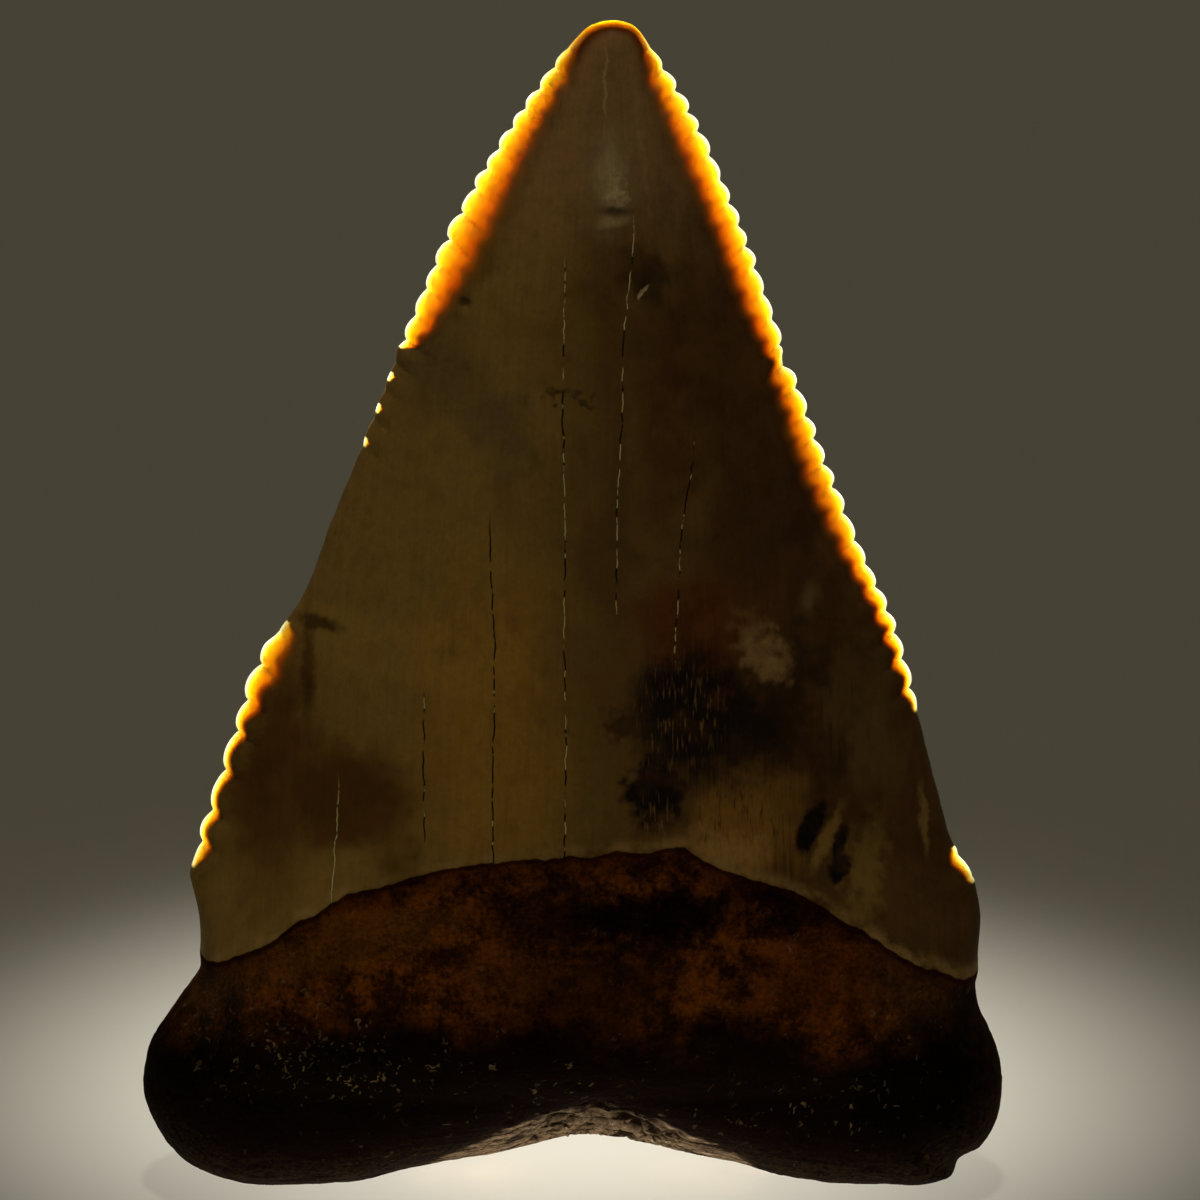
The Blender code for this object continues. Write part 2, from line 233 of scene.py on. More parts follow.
@dataclass(frozen=True)
class Outline:
    """The tooth's outline seen from the lingual side, anticlockwise."""

    left: CuttingEdge
    right: CuttingEdge
    root: Line
    tip_x: float = 1.6
    tip_height: float = 47.55
    tip_half_width: float = 0.85
    tip_drop: float = 0.2
    root_step: float = 0.14

    def tip(self) -> np.ndarray:
        """The rounded tip, from the right cutting edge over to the left one.

        Returns:
            The tip's points, without its two ends, which the cutting edges hold.
        """
        top = (self.tip_x, self.tip_height)
        below = self.tip_height - self.tip_drop
        beside = [(self.tip_x + side * self.tip_half_width, below) for side in (1, -1)]
        ends = self.right.points[0], self.left.points[0]
        return curve_through((ends[0], beside[0], top, beside[1], ends[1]), self.right.step)[1:-1]

    def closed(self) -> np.ndarray:
        """The points of the whole outline.

        Returns:
            The points, which run up the right edge, over the tip, down the left edge and round the root.
        """
        ends = self.left.points[-1], self.right.points[-1]
        root = curve_through((ends[0],) + self.root + (ends[1],), self.root_step)[1:-1]
        return np.vstack([self.right.serrated()[::-1], self.tip(), self.left.serrated(), root])


class Ruler:
    """Measures from points to a closed outline."""

    def __init__(self, outline: np.ndarray) -> None:
        """Args:
            outline: The points of the closed outline.
        """
        self.outline = outline
        self.tree = lookup(outline)

    def distance(self, points: np.ndarray) -> np.ndarray:
        """Distance from each point to the outline.

        Args:
            points: The points, as (x, z).

        Returns:
            A distance for each point.
        """
        nearest = np.array([self.tree.find((x, z, 0.0))[1] for x, z in points])
        found = np.full(len(points), np.inf)
        for turn in (-1, 0):
            start = self.outline[(nearest + turn) % len(self.outline)]
            along = self.outline[(nearest + turn + 1) % len(self.outline)] - start
            offset = points - start
            share = np.clip((offset * along).sum(axis=1) / (along**2).sum(axis=1), 0.0, 1.0)
            found = np.minimum(found, np.linalg.norm(offset - share[:, None] * along, axis=1))
        return found

    def inside(self, points: np.ndarray) -> np.ndarray:
        """Whether each point lies inside the outline.

        Args:
            points: The points, as (x, z).

        Returns:
            True for each point that does.
        """
        start, end = self.outline, np.roll(self.outline, -1, axis=0)
        rise = end[:, 1] - start[:, 1]
        rise = np.where(rise == 0.0, 1.0, rise)
        found = []
        for x, z in points:
            spans = (start[:, 1] > z) != (end[:, 1] > z)
            crossing = start[:, 0] + (z - start[:, 1]) * (end[:, 0] - start[:, 0]) / rise
            found.append((spans & (x < crossing)).sum() % 2 == 1)
        return np.array(found)


@dataclass(frozen=True)
class Crown:
    """Depths of the crown on both sides of the plane that its cutting edges lie in."""

    base_z: float = 15.4
    lingual_depth: float = 7.0
    lingual_tip_depth: float = 0.8
    labial_depth: float = 1.9
    labial_tip_depth: float = 0.55
    labial_power: float = 0.8
    edge_margin: float = 0.3
    edge_round: float = 0.25
    plane_y: float = 1.5
    plane_lean: float = 0.10


@dataclass(frozen=True)
class Root:
    """Depths of the root on both sides of the surface that its outline lies in."""

    crest_z: float = 8.3
    swell_centre: float = 2.7
    swell_lobes: float = 5.1
    swell_half_width: float = 9.0
    fall_below: float = 0.19
    reach_below: float = 3.4
    fall_above: float = 0.085
    reach_above: float = 7.0
    above_power: float = 1.5
    round_front: float = 3.8
    round_back: float = 2.4
    back_centre: float = 1.6
    back_lobes: float = 3.0
    lobe_span: tuple[float, float] = (3.0, 11.0)
    basal_height: float = 4.2
    basal_x: float = 0.7
    basal_half_width: float = 5.5
    basal_power: float = 1.5
    basal_fade: tuple[float, float] = (7.0, 12.0)
    plane_y: float = 0.95
    plane_notch: float = 1.0
    notch_half_width: float = 6.0
    plane_sides: float = -0.9
    side_span: tuple[float, float] = (13.0, 17.8)
    crown_span: tuple[float, float] = (3.0, 14.0)
    hollow_x: float = 0.8
    hollow_half_width: float = 8.3
    hollow_height: float = 4.2
    hollow_fade: float = 2.0
    hollow_back: float = 0.5
    hollow_top: float = 8.0


@dataclass(frozen=True)
class EnamelEnd:
    """Where the enamel ends on one face, and the step down to the root there."""

    line: Line
    step: float = 0.22
    step_width: float = 0.3
    step_fade: float = 1.0
    neck_below: float = 1.0
    neck_above: float = 3.5
    rags: tuple[tuple[float, float], ...] = ((0.8, 0.22), (3.1, 0.07))

    def above(self, x: np.ndarray, z: np.ndarray) -> np.ndarray:
        """How far above the end of the enamel each point lies."""
        return z - np.interp(x, *np.array(self.line).T)

    def ragged(self, x: np.ndarray, z: np.ndarray) -> np.ndarray:
        """The same, but for an end that runs unevenly, as rags of a size and height.

        Args:
            x: How far right of the middle each point lies.
            z: How high each point lies.

        Returns:
            A height for each point, below 0 on the root.
        """
        found = self.above(x, z)
        for often, height in self.rags:
            rags = [noise.noise(Vector((value * often, often, 0.0))) for value in x]
            found = found + height * np.array(rags)
        return found

    def crown_share(self, x: np.ndarray, z: np.ndarray) -> np.ndarray:
        """0 in the root, 1 in the crown, and the blend of the two at the neck."""
        return smoothstep(self.above(x, z), -self.neck_below, self.neck_above)

    def proud(self, x: np.ndarray, z: np.ndarray, distance: np.ndarray) -> np.ndarray:
        """How far the enamel stands proud of the root.

        Args:
            x: How far right of the middle each point lies.
            z: How high each point lies.
            distance: How far inside the outline each point lies.

        Returns:
            A height for each point.
        """
        half = self.step_width / 2
        fade = rounded(distance, self.step_fade, 1.0)
        return self.step * smoothstep(self.ragged(x, z), -half, half) * fade


@dataclass(frozen=True)
class Form:
    """The whole shape: outline, crown, root and the ends of the enamel."""

    outline: Outline
    ends: dict[Face, EnamelEnd]
    crown: Crown = Crown()
    root: Root = Root()

    def middle(self, x: np.ndarray, z: np.ndarray) -> np.ndarray:
        """Depth y of the surface that the outline lies in.

        Args:
            x: How far right of the middle each point lies.
            z: How high each point lies.

        Returns:
            A depth for each point.
        """
        root, crown = self.root, self.crown
        notch = np.exp(-(((x - root.basal_x) / root.notch_half_width) ** 2))
        sides = root.plane_sides * smoothstep(abs(x), *root.side_span)
        low = root.plane_y + root.plane_notch * notch + sides
        high = crown.plane_y + crown.plane_lean * z
        return low + (high - low) * smoothstep(z, *root.crown_span)

    def across(self, x: np.ndarray, z: np.ndarray) -> np.ndarray:
        """Place across the crown, from -1 at the left edge to 1 at the right one.

        Args:
            x: How far right of the middle each point lies.
            z: How high each point lies.

        Returns:
            A place for each point.
        """
        left = level_at(turned_over(self.outline.left.points), z)
        right = level_at(turned_over(self.outline.right.points), z)
        half = (right - left) / 2 + self.crown.edge_margin
        return (x - (left + right) / 2) / half

    def crown_depth(self, face: Face, x: np.ndarray, z: np.ndarray, distance: np.ndarray) -> np.ndarray:
        """Depth of the crown alone on one face.

        Args:
            face: The face.
            x: How far right of the middle each point lies.
            z: How high each point lies.
            distance: How far inside the outline each point lies.

        Returns:
            A depth for each point.
        """
        crown = self.crown
        height = self.outline.tip_height
        taper = np.clip((height - z) / (height - crown.base_z), 0.0, 1.0)
        bulge = np.clip(1.0 - self.across(x, z) ** 2, 0.0, 1.0)
        if face is Face.LINGUAL:
            depth = crown.lingual_tip_depth + (crown.lingual_depth - crown.lingual_tip_depth) * taper
        else:
            depth = crown.labial_tip_depth + (crown.labial_depth - crown.labial_tip_depth) * taper
            bulge = bulge**crown.labial_power
        return depth * bulge * rounded(distance, crown.edge_round)

    def root_depth(self, face: Face, x: np.ndarray, z: np.ndarray, distance: np.ndarray) -> np.ndarray:
        """Depth of the root alone on one face.

        Args:
            face: The face.
            x: How far right of the middle each point lies.
            z: How high each point lies.
            distance: How far inside the outline each point lies.

        Returns:
            A depth for each point.
        """
        root = self.root
        if face is Face.LABIAL:
            lobes = (root.back_lobes - root.back_centre) * smoothstep(abs(x), *root.lobe_span)
            return (root.back_centre + lobes) * rounded(distance, root.round_back)
        swell = root.swell_lobes + root.swell_centre * np.exp(-((x / root.swell_half_width) ** 2))
        below = np.clip((root.crest_z - z) / root.reach_below, 0.0, 1.0) ** 2
        above = np.clip((z - root.crest_z) / root.reach_above, 0.0, root.above_power) ** root.above_power
        swell = swell * (1.0 - root.fall_below * below - root.fall_above * above)
        basal = np.exp(-(((x - root.basal_x) / root.basal_half_width) ** 2))
        basal = basal * (1.0 - smoothstep(z, *root.basal_fade))
        slant = 1.0 - (1.0 - np.clip(distance / root.basal_height, 0.0, 1.0)) ** root.basal_power
        lobe = rounded(distance, root.round_front)
        return swell * (lobe + (slant - lobe) * basal)

    def hollow(self, face: Face, x: np.ndarray, z: np.ndarray, distance: np.ndarray) -> np.ndarray:
        """1 in the pale crescent over the arch between the lobes, and 0 outside it.

        Args:
            face: The face.
            x: How far right of the middle each point lies.
            z: How high each point lies.
            distance: How far inside the outline each point lies.

        Returns:
            A share for each point.
        """
        root = self.root
        height = root.hollow_height * (root.hollow_back if face is Face.LABIAL else 1.0)
        width = 1.0 - ((x - root.hollow_x) / root.hollow_half_width) ** 2
        inside = smoothstep(height * width - distance, 0.0, root.hollow_fade)
        return np.where(z < root.hollow_top, inside, 0.0)

    def depth(self, face: Face, x: np.ndarray, z: np.ndarray, distance: np.ndarray) -> np.ndarray:
        """Depth of one face from the middle surface.

        Args:
            face: The face.
            x: How far right of the middle each point lies.
            z: How high each point lies.
            distance: How far inside the outline each point lies.

        Returns:
            A depth for each point.
        """
        root = self.root_depth(face, x, z, distance)
        crown = self.crown_depth(face, x, z, distance)
        end = self.ends[face]
        return root + (crown - root) * end.crown_share(x, z) + end.proud(x, z, distance)


LEFT_EDGE = CuttingEdge(
    points=(
        (-0.20, 46.5), (-2.30, 43.5), (-4.85, 39.2), (-6.58, 35.2), (-8.38, 30.6), (-9.85, 27.0),
        (-11.00, 24.0), (-12.72, 21.4), (-13.85, 18.2), (-15.00, 14.6), (-15.72, 12.3),
    ),
    side=-1,
    wear=(
        (47.0, 0.0), (46.2, 0.5), (45.0, 0.9), (34.2, 1.0), (33.6, 0.35), (30.2, 0.35), (29.6, 0.08),
        (22.6, 0.08), (22.0, 1.2), (14.0, 1.2), (13.2, 0.5), (12.5, 0.5), (12.2, 0.0),
    ),
    amber=(
        (47.5, 0.25), (46.6, 0.5), (45.8, 0.8), (43.8, 1.05), (41.7, 1.4), (39.7, 1.7), (37.6, 1.7),
        (35.5, 1.2), (34.6, 0.7), (34.2, 0.0), (33.3, 0.0), (33.1, 0.3), (32.8, 0.0), (32.0, 0.0),
        (31.8, 0.3), (31.5, 0.0), (30.6, 0.0), (30.4, 0.3), (30.1, 0.0), (23.0, 0.0), (22.6, 0.7),
        (21.4, 1.1), (20.2, 0.9), (19.2, 0.55), (18.2, 0.32), (14.5, 0.32), (13.2, 0.45), (12.6, 0.0),
    ),
    seed=11,
    pitch_shoulder=1.65,
)
RIGHT_EDGE = CuttingEdge(
    points=(
        (3.15, 46.5), (4.90, 43.5), (6.75, 39.2), (8.25, 35.0), (9.95, 30.2), (11.55, 26.2),
        (13.10, 22.6), (14.05, 19.2), (14.95, 15.7), (15.62, 13.5), (16.45, 12.2),
    ),
    side=1,
    wear=(
        (47.0, 0.0), (46.2, 0.5), (45.0, 1.0), (20.0, 1.0), (19.2, 0.3), (18.8, 0.08),
        (13.6, 0.08), (13.3, 0.6), (12.4, 0.6), (12.2, 0.0),
    ),
    amber=(
        (47.5, 0.25), (46.6, 0.4), (45.8, 0.8), (43.8, 1.1), (41.7, 1.3), (39.7, 1.2), (36.0, 1.2),
        (34.2, 0.8), (33.8, 0.4), (33.2, 0.8), (31.0, 1.1), (27.0, 1.0), (24.0, 0.6), (21.0, 0.4),
        (19.4, 0.25), (19.1, 0.0), (13.6, 0.0), (13.3, 0.4), (12.3, 0.3), (12.0, 0.0),
    ),
    seed=5,
    pitch_shoulder=1.25,
    nick=(33.8, 0.35, 0.35),
)
# Under each lobe the outline dips this far below the ground, and what is below it is cut level
FLAT_DIP = 0.45
OUTLINE = Outline(
    left=LEFT_EDGE,
    right=RIGHT_EDGE,
    root=(
        (-15.32, 10.6), (-15.42, 8.9), (-16.55, 7.3), (-17.60, 5.6), (-17.80, 4.2), (-17.20, 2.3),
        (-15.90, 0.65), (-13.90, -0.30), (-11.20, -FLAT_DIP), (-8.80, -0.25), (-6.20, 0.30),
        (-3.00, 0.55), (0.70, 0.95), (3.80, 0.60), (6.60, 0.30), (9.40, -0.25), (12.20, -FLAT_DIP),
        (14.90, -0.32), (15.72, 0.10), (16.05, 0.95), (16.85, 1.50), (17.62, 2.8), (17.80, 4.3),
        (17.45, 5.9), (16.80, 7.4), (16.60, 9.2), (16.70, 10.8),
    ),
)
FORM = Form(
    outline=OUTLINE,
    ends={
        Face.LINGUAL: EnamelEnd(
            line=(
                (-15.4, 9.3), (-12.8, 10.9), (-11.1, 12.1), (-9.0, 13.4), (-6.2, 14.3), (-3.3, 15.1),
                (0.0, 15.4), (4.5, 15.6), (5.3, 14.9), (8.8, 13.6), (12.1, 11.4), (16.6, 8.8),
            )
        ),
        Face.LABIAL: EnamelEnd(
            line=(
                (-15.4, 9.4), (-10.0, 10.4), (-5.0, 9.7), (0.5, 8.9), (5.5, 9.6), (10.5, 10.3),
                (16.6, 9.2),
            )
        ),
    },
)


@dataclass(frozen=True)
class Crack:
    """A hairline crack down the lingual enamel.

    Attributes:
        points: Its line, as (x, z) from its upper end down.
        pale: How pale it is, from 0 to 1: pale dust in it, with a painted glint on its lifted edges.
        fade: How slowly it opens at its ends.
        reach: How far to each side the net knows of it.
    """

    points: Line
    pale: float
    fade: float = 1.2
    reach: float = 1.0

    def right_of(self, x: np.ndarray, z: np.ndarray) -> np.ndarray:
        """How far to the right of the crack each point lies."""
        return x - level_at(turned_over(self.points), z)

    def opened(self, x: np.ndarray, z: np.ndarray) -> np.ndarray:
        """1 beside the crack, and 0 beyond its ends and away from it.

        Args:
            x: How far right of the middle each point lies.
            z: How high each point lies.

        Returns:
            A share for each point.
        """
        top, bottom = self.points[0][1], self.points[-1][1]
        along = smoothstep(z, bottom - self.fade, bottom) * smoothstep(-z, -top - self.fade, -top)
        return np.where(abs(self.right_of(x, z)) < self.reach, along, 0.0)


# From left to right
CRACKS = (
    Crack(((-9.55, 16.7), (-9.66, 15.0), (-9.77, 13.6)), 0.75),
    Crack(((-6.02, 20.8), (-6.05, 18.6), (-6.02, 16.3)), 0.35),
    Crack(((-3.34, 27.6), (-3.26, 25.5), (-3.14, 23.8), (-3.24, 19.0), (-3.22, 15.3)), 0.30),
    Crack(((-0.31, 37.7), (-0.42, 33.0), (-0.30, 28.0), (-0.36, 24.0), (-0.27, 20.2), (-0.33, 15.4)), 0.60),
    Crack(((2.47, 39.5), (2.25, 37.2), (2.03, 35.4), (2.03, 33.1), (1.79, 29.0), (1.75, 25.6)), 0.65),
    Crack(((4.90, 30.6), (4.45, 28.4), (4.37, 27.4), (4.33, 26.2), (4.13, 23.7)), 0.55),
)


@dataclass(frozen=True)
class Dent:
    """A small hollow in the lingual face, or a bump where its depth is below 0.

    Attributes:
        turn: How far its upper end leans to the right, in degrees.
    """

    x: float
    z: float
    half_width: float
    half_height: float
    depth: float
    turn: float = 0.0

    def carved(self, x: np.ndarray, z: np.ndarray) -> np.ndarray:
        """How much it takes away at each point.

        Args:
            x: How far right of the middle each point lies.
            z: How high each point lies.

        Returns:
            A depth for each point.
        """
        turn = math.radians(self.turn)
        right, up = x - self.x, z - self.z
        across = (right * math.cos(turn) - up * math.sin(turn)) / self.half_width
        along = (up * math.cos(turn) + right * math.sin(turn)) / self.half_height
        return self.depth * np.exp(-(across**2 + along**2))


DENTS = (
    Dent(1.35, 41.3, 0.85, 1.3, -0.10),
    Dent(1.66, 40.35, 0.60, 0.28, 0.07),
    Dent(1.60, 39.85, 0.60, 0.18, -0.03),
    Dent(-4.40, 36.50, 0.24, 0.24, 0.10),
    Dent(2.83, 37.30, 0.13, 0.40, 0.09, 35.0),
    Dent(-0.27, 20.2, 0.16, 0.20, 0.07),
    Dent(9.66, 15.74, 0.40, 0.80, 0.06, 28.0),
    Dent(14.35, 15.1, 0.20, 1.3, 0.07, -5.0),
    Dent(1.00, 4.30, 0.50, 0.34, 0.38),
    Dent(2.05, 4.00, 0.42, 0.30, 0.32),
    Dent(2.70, 3.15, 0.55, 0.36, 0.36, 20.0),
    Dent(-0.20, 3.60, 0.42, 0.26, 0.26, 35.0),
    Dent(1.20, 3.30, 0.40, 0.24, 0.24),
    Dent(4.10, 2.75, 0.45, 0.22, 0.20, -15.0),
    Dent(-9.85, 11.2, 1.6, 0.30, 0.07, 12.0),
    Dent(6.80, 9.90, 1.1, 0.50, 0.07),
)


@dataclass(frozen=True)
class NetSizes:
    """How far apart the points of the net are, in millimetres.

    The first points only say which way the net runs. Every edge that is longer than its limit is then
    halved on the true surface until none is.
    """

    lattice: float = 0.6
    widest_x: float = 18.0
    lowest_z: float = -0.4
    crown_rings: tuple[float, ...] = (0.12, 0.3, 0.6, 1.1)
    crown_gap: tuple[float, float] = (0.12, 0.5)
    root_rings: tuple[float, ...] = (0.03, 0.12, 0.3, 0.6, 1.05, 1.7)
    root_gap: tuple[float, float] = (0.15, 0.33)
    closest: float = 0.05
    nearest_rim: float = 0.02
    rim_share: float = 0.55
    clear_share: float = 0.62
    same_point: float = 1e-6
    enamel: float = 0.38
    margin: float = 0.19
    margin_width: float = 1.2
    root: float = 0.27
    enamel_end: float = 0.18
    enamel_end_reach: float = 0.4
    dent: float = 0.11
    least_dent: float = 0.012
    labial_share: float = 1.45
    passes: int = 9
    widest_across: float = 1.2


@dataclass
class Net:
    """Points, triangles and the measures of each point on one face."""

    flat: np.ndarray
    place: np.ndarray
    triangles: np.ndarray
    measures: dict[str, np.ndarray]


class FaceNet:
    """Builds the net of one face over the outline."""

    def __init__(self, form: Form, face: Face, ruler: Ruler, sizes: NetSizes) -> None:
        """Keeps what the net is built from.

        Args:
            form: The tooth's shape.
            face: The face.
            ruler: Measures to the outline.
            sizes: How far apart the net's points are.
        """
        self.form = form
        self.face = face
        self.ruler = ruler
        self.sizes = sizes
        self.rim = len(ruler.outline)

    def first_points(self) -> np.ndarray:
        """Rings along the outline and a lattice over the rest, thinned where they meet.

        Returns:
            The points, all of them inside the outline.
        """
        sizes, form = self.sizes, self.form
        outline = self.ruler.outline
        along = np.roll(outline, -1, axis=0) - np.roll(outline, 1, axis=0)
        outwards = np.column_stack([along[:, 1], -along[:, 0]])
        outwards /= np.linalg.norm(outwards, axis=1)[:, None]
        found = []
        for edge in (form.outline.left, form.outline.right):
            line = edge.line()
            normals = outward_normals(line, edge.side)
            for distance in sizes.crown_rings:
                step = max(1, round((sizes.crown_gap[0] + sizes.crown_gap[1] * distance) / edge.step))
                found.extend((line - normals * distance)[::step])
        on_root = outline[:, 1] <= form.outline.left.points[-1][1]
        for distance in sizes.root_rings:
            gap = sizes.root_gap[0] + sizes.root_gap[1] * distance
            step = max(1, round(gap / form.outline.root_step))
            found.extend((outline - outwards * distance)[on_root][::step])
        rise = sizes.lattice * math.sqrt(3) / 2
        for index, z in enumerate(np.arange(sizes.lowest_z, form.outline.tip_height, rise)):
            start = -sizes.widest_x + (index % 2) * sizes.lattice / 2
            found += [(x, z) for x in np.arange(start, sizes.widest_x, sizes.lattice)]
        points = np.array(found)
        points = points[self.ruler.inside(points)]
        clear = self.ruler.distance(points)
        kept = clear > sizes.nearest_rim
        widest = sizes.lattice * sizes.clear_share
        return self.thinned(points[kept], np.clip(clear[kept] * sizes.rim_share, sizes.closest, widest))

    @staticmethod
    def thinned(points: np.ndarray, gaps: np.ndarray) -> np.ndarray:
        """Leaves out each point that lies nearer than its own gap to one that is kept.

        Args:
            points: The points, as (x, z).
            gaps: The gap of each point.

        Returns:
            The points that are kept.
        """
        kept: list[tuple[float, float]] = []
        cell = float(gaps.max())
        cells: dict[tuple[int, int], list[tuple[float, float]]] = {}
        for (x, z), gap in zip(points, gaps):
            column, row = math.floor(x / cell), math.floor(z / cell)
            beside = [(column + i, row + j) for i in (-1, 0, 1) for j in (-1, 0, 1)]
            near = [point for key in beside for point in cells.get(key, ())]
            if all(math.hypot(x - a, z - b) >= gap for a, b in near):
                kept.append((x, z))
                cells.setdefault((column, row), []).append((x, z))
        return np.array(kept)

    def first_triangles(self) -> tuple[np.ndarray, np.ndarray]:
        """Fills the outline with triangles, with no edge that joins two of its points across it.

        Returns:
            The points, the outline's own first, and the triangles.
        """
        loop = list(range(self.rim))
        edges = list(zip(loop, loop[1:] + loop[:1]))
        sides = {frozenset(edge) for edge in edges}
        points = [tuple(p) for p in self.ruler.outline] + [tuple(p) for p in self.first_points()]
        while True:
            found = delaunay_2d_cdt(points, edges, [], 1, self.sizes.same_point)
            triangles, origins = found[2], found[3]
            source = [min(origin) for origin in origins]
            ends = {
                frozenset((source[a], source[b]))
                for triangle in triangles
                for a, b in zip(triangle, triangle[1:] + triangle[:1])
            }
            across = [pair for pair in ends if max(pair) < self.rim and pair not in sides]
            if not across:
                break
            pairs = sorted(sorted(pair) for pair in across)
            points += [tuple(np.mean([points[i] for i in pair], axis=0)) for pair in pairs]
        order = np.array(source)
        return np.array(points), order[np.array(triangles)]

    def placed(self, flat: np.ndarray) -> tuple[np.ndarray, np.ndarray]:
        """Puts flat points on the face.

        Args:
            flat: Points of the outline's plane, as (x, z).

        Returns:
            The points in space, and their distance to the outline.
        """
        x, z = flat.T
        distance = self.ruler.distance(flat)
        y = self.form.middle(x, z) + self.face.value * self.form.depth(self.face, x, z, distance)
        return np.column_stack([x, y, z]), distance

    def limits(self, flat: np.ndarray, distance: np.ndarray) -> np.ndarray:
        """The longest that an edge may be at each point.

        Args:
            flat: The points in the outline's plane, as (x, z).
            distance: How far inside the outline each point lies.

        Returns:
            A length for each point.
        """
        sizes = self.sizes
        above = self.form.ends[self.face].above(*flat.T)
        found = np.where(above > 0.0, sizes.enamel, sizes.root)
        margin = (above > 0.0) & (distance < sizes.margin_width)
        found = np.where(margin, sizes.margin, found)
        found = np.where(abs(above) < sizes.enamel_end_reach, np.minimum(found, sizes.enamel_end), found)
        if self.face is Face.LABIAL:
            return found * sizes.labial_share
        dented = sum(abs(dent.carved(*flat.T)) for dent in DENTS) > sizes.least_dent
        return np.where(dented, np.minimum(found, sizes.dent), found)

    def halved(self, triangles: np.ndarray, middles: np.ndarray) -> np.ndarray:
        """Splits triangles at the middles of their sides.

        Args:
            triangles: Corners of each triangle.
            middles: The new point on each side, from a corner to the next, or -1 where there is none.

        Returns:
            The new triangles.
        """
        marked = middles >= 0
        count = marked.sum(axis=1)
        found = [triangles[count == 0]]
        turns = {1: np.argmax(marked, axis=1), 2: (np.argmin(marked, axis=1) + 1) % 3, 3: 0 * count}
        for number, turn in turns.items():
            chosen = count == number
            order = (np.arange(3)[None, :] + turn[chosen][:, None]) % 3
            a, b, c = np.take_along_axis(triangles[chosen], order, 1).T
            p, q, r = np.take_along_axis(middles[chosen], order, 1).T
            parts = {
                1: ((a, p, c), (p, b, c)),
                2: ((p, b, q), (a, p, q), (a, q, c)),
                3: ((a, p, r), (p, b, q), (r, q, c), (p, q, r)),
            }
            found += [np.column_stack(corners) for corners in parts[number]]
        return np.vstack(found)

    def build(self) -> Net:
        """Builds the net, halving long edges on the true surface until none is too long.

        Returns:
            The net.
        """
        flat, triangles = self.first_triangles()
        place, distance = self.placed(flat)
        for _ in range(self.sizes.passes):
            sides = np.vstack([triangles[:, [0, 1]], triangles[:, [1, 2]], triangles[:, [2, 0]]])
            ends, index = np.unique(np.sort(sides, axis=1), axis=0, return_inverse=True)
            length = np.linalg.norm(place[ends[:, 0]] - place[ends[:, 1]], axis=1)
            centre = flat[ends].mean(axis=1)
            limit = self.limits(centre, distance[ends].mean(axis=1))
            long = (length > limit) & (ends.max(axis=1) >= self.rim)
            if not long.any():
                break
            number = np.full(len(ends), -1)
            number[long] = len(flat) + np.arange(long.sum())
            middles = number[index.reshape(3, -1)].T
            triangles = self.halved(triangles, middles)
            new_place, new_distance = self.placed(centre[long])
            flat = np.vstack([flat, centre[long]])
            place = np.vstack([place, new_place])
            distance = np.concatenate([distance, new_distance])
        return Net(flat, place, triangles, self.measures(flat, distance))

    def measures(self, flat: np.ndarray, distance: np.ndarray) -> dict[str, np.ndarray]:
        """What the relief and the material need to know at each point.

        Args:
            flat: The points in the outline's plane, as (x, z).
            distance: How far inside the outline each point lies.

        Returns:
            The measures by name, each with a value for every point.
        """
        x, z = flat.T
        lingual = 1.0 if self.face is Face.LINGUAL else 0.0
        valley, amber = self.along_edges(flat)
        crack, opened, pale = self.along_cracks(x, z)
        return {
            "above": self.form.ends[self.face].ragged(x, z),
            "edge": distance,
            "across": np.clip(self.form.across(x, z), -self.sizes.widest_across, self.sizes.widest_across),
            "lingual": np.full(len(flat), lingual),
            "valley": valley,
            "amber": amber,
            "crack": crack,
            "opened": opened,
            "pale": pale,
            "dent": lingual * sum(dent.carved(x, z) for dent in DENTS),
            "hollow": self.form.hollow(self.face, x, z, distance),
        }

    def along_cracks(self, x: np.ndarray, z: np.ndarray) -> tuple[np.ndarray, np.ndarray, np.ndarray]:
        """Reads the nearest crack at each point.

        Args:
            x: How far right of the middle each point lies.
            z: How high each point lies.

        Returns:
            How far beside it each point lies, how open it is there, and how pale. The first is below 0
            between every other pair of cracks, so that it is 0 on a crack and nowhere else.
        """
        offset = np.full(len(x), np.inf)
        opened, pale = np.zeros(len(x)), np.zeros(len(x))
        for number, crack in enumerate(CRACKS):
            here = crack.right_of(x, z) * (-1) ** number
            closer = abs(here) < abs(offset)
            offset = np.where(closer, here, offset)
            opened = np.where(closer, crack.opened(x, z), opened)
            pale = np.where(closer, crack.pale, pale)
        if self.face is Face.LABIAL:
            return offset, np.zeros(len(x)), pale
        return offset, opened, pale

    def along_edges(self, flat: np.ndarray) -> tuple[np.ndarray, np.ndarray]:
        """Reads the nearest cutting edge at each point.

        Args:
            flat: The points in the outline's plane, as (x, z).

        Returns:
            How deep in the groove between two serrations each point lies, and how far in from the edge
            light comes through beside it.
        """
        valley = np.zeros(len(flat))
        nearest = np.full(len(flat), np.inf)
        amber = np.zeros(len(flat))
        for edge in (self.form.outline.left, self.form.outline.right):
            line = edge.line()
            crest, depth = edge.humps(line)
            tree = lookup(line)
            found = [tree.find((x, z, 0.0))[1:] for x, z in flat]
            index = np.array([item[0] for item in found])
            far = np.array([item[1] for item in found])
            closer = far < nearest
            share = (1.0 - crest[index]) * depth[index] / edge.depth
            valley = np.where(closer, share * np.exp(-((far / edge.groove_length) ** 2)), valley)
            amber = np.where(closer, level_at(edge.amber, flat[:, 1]), amber)
            nearest = np.minimum(nearest, far)
        return valley, amber


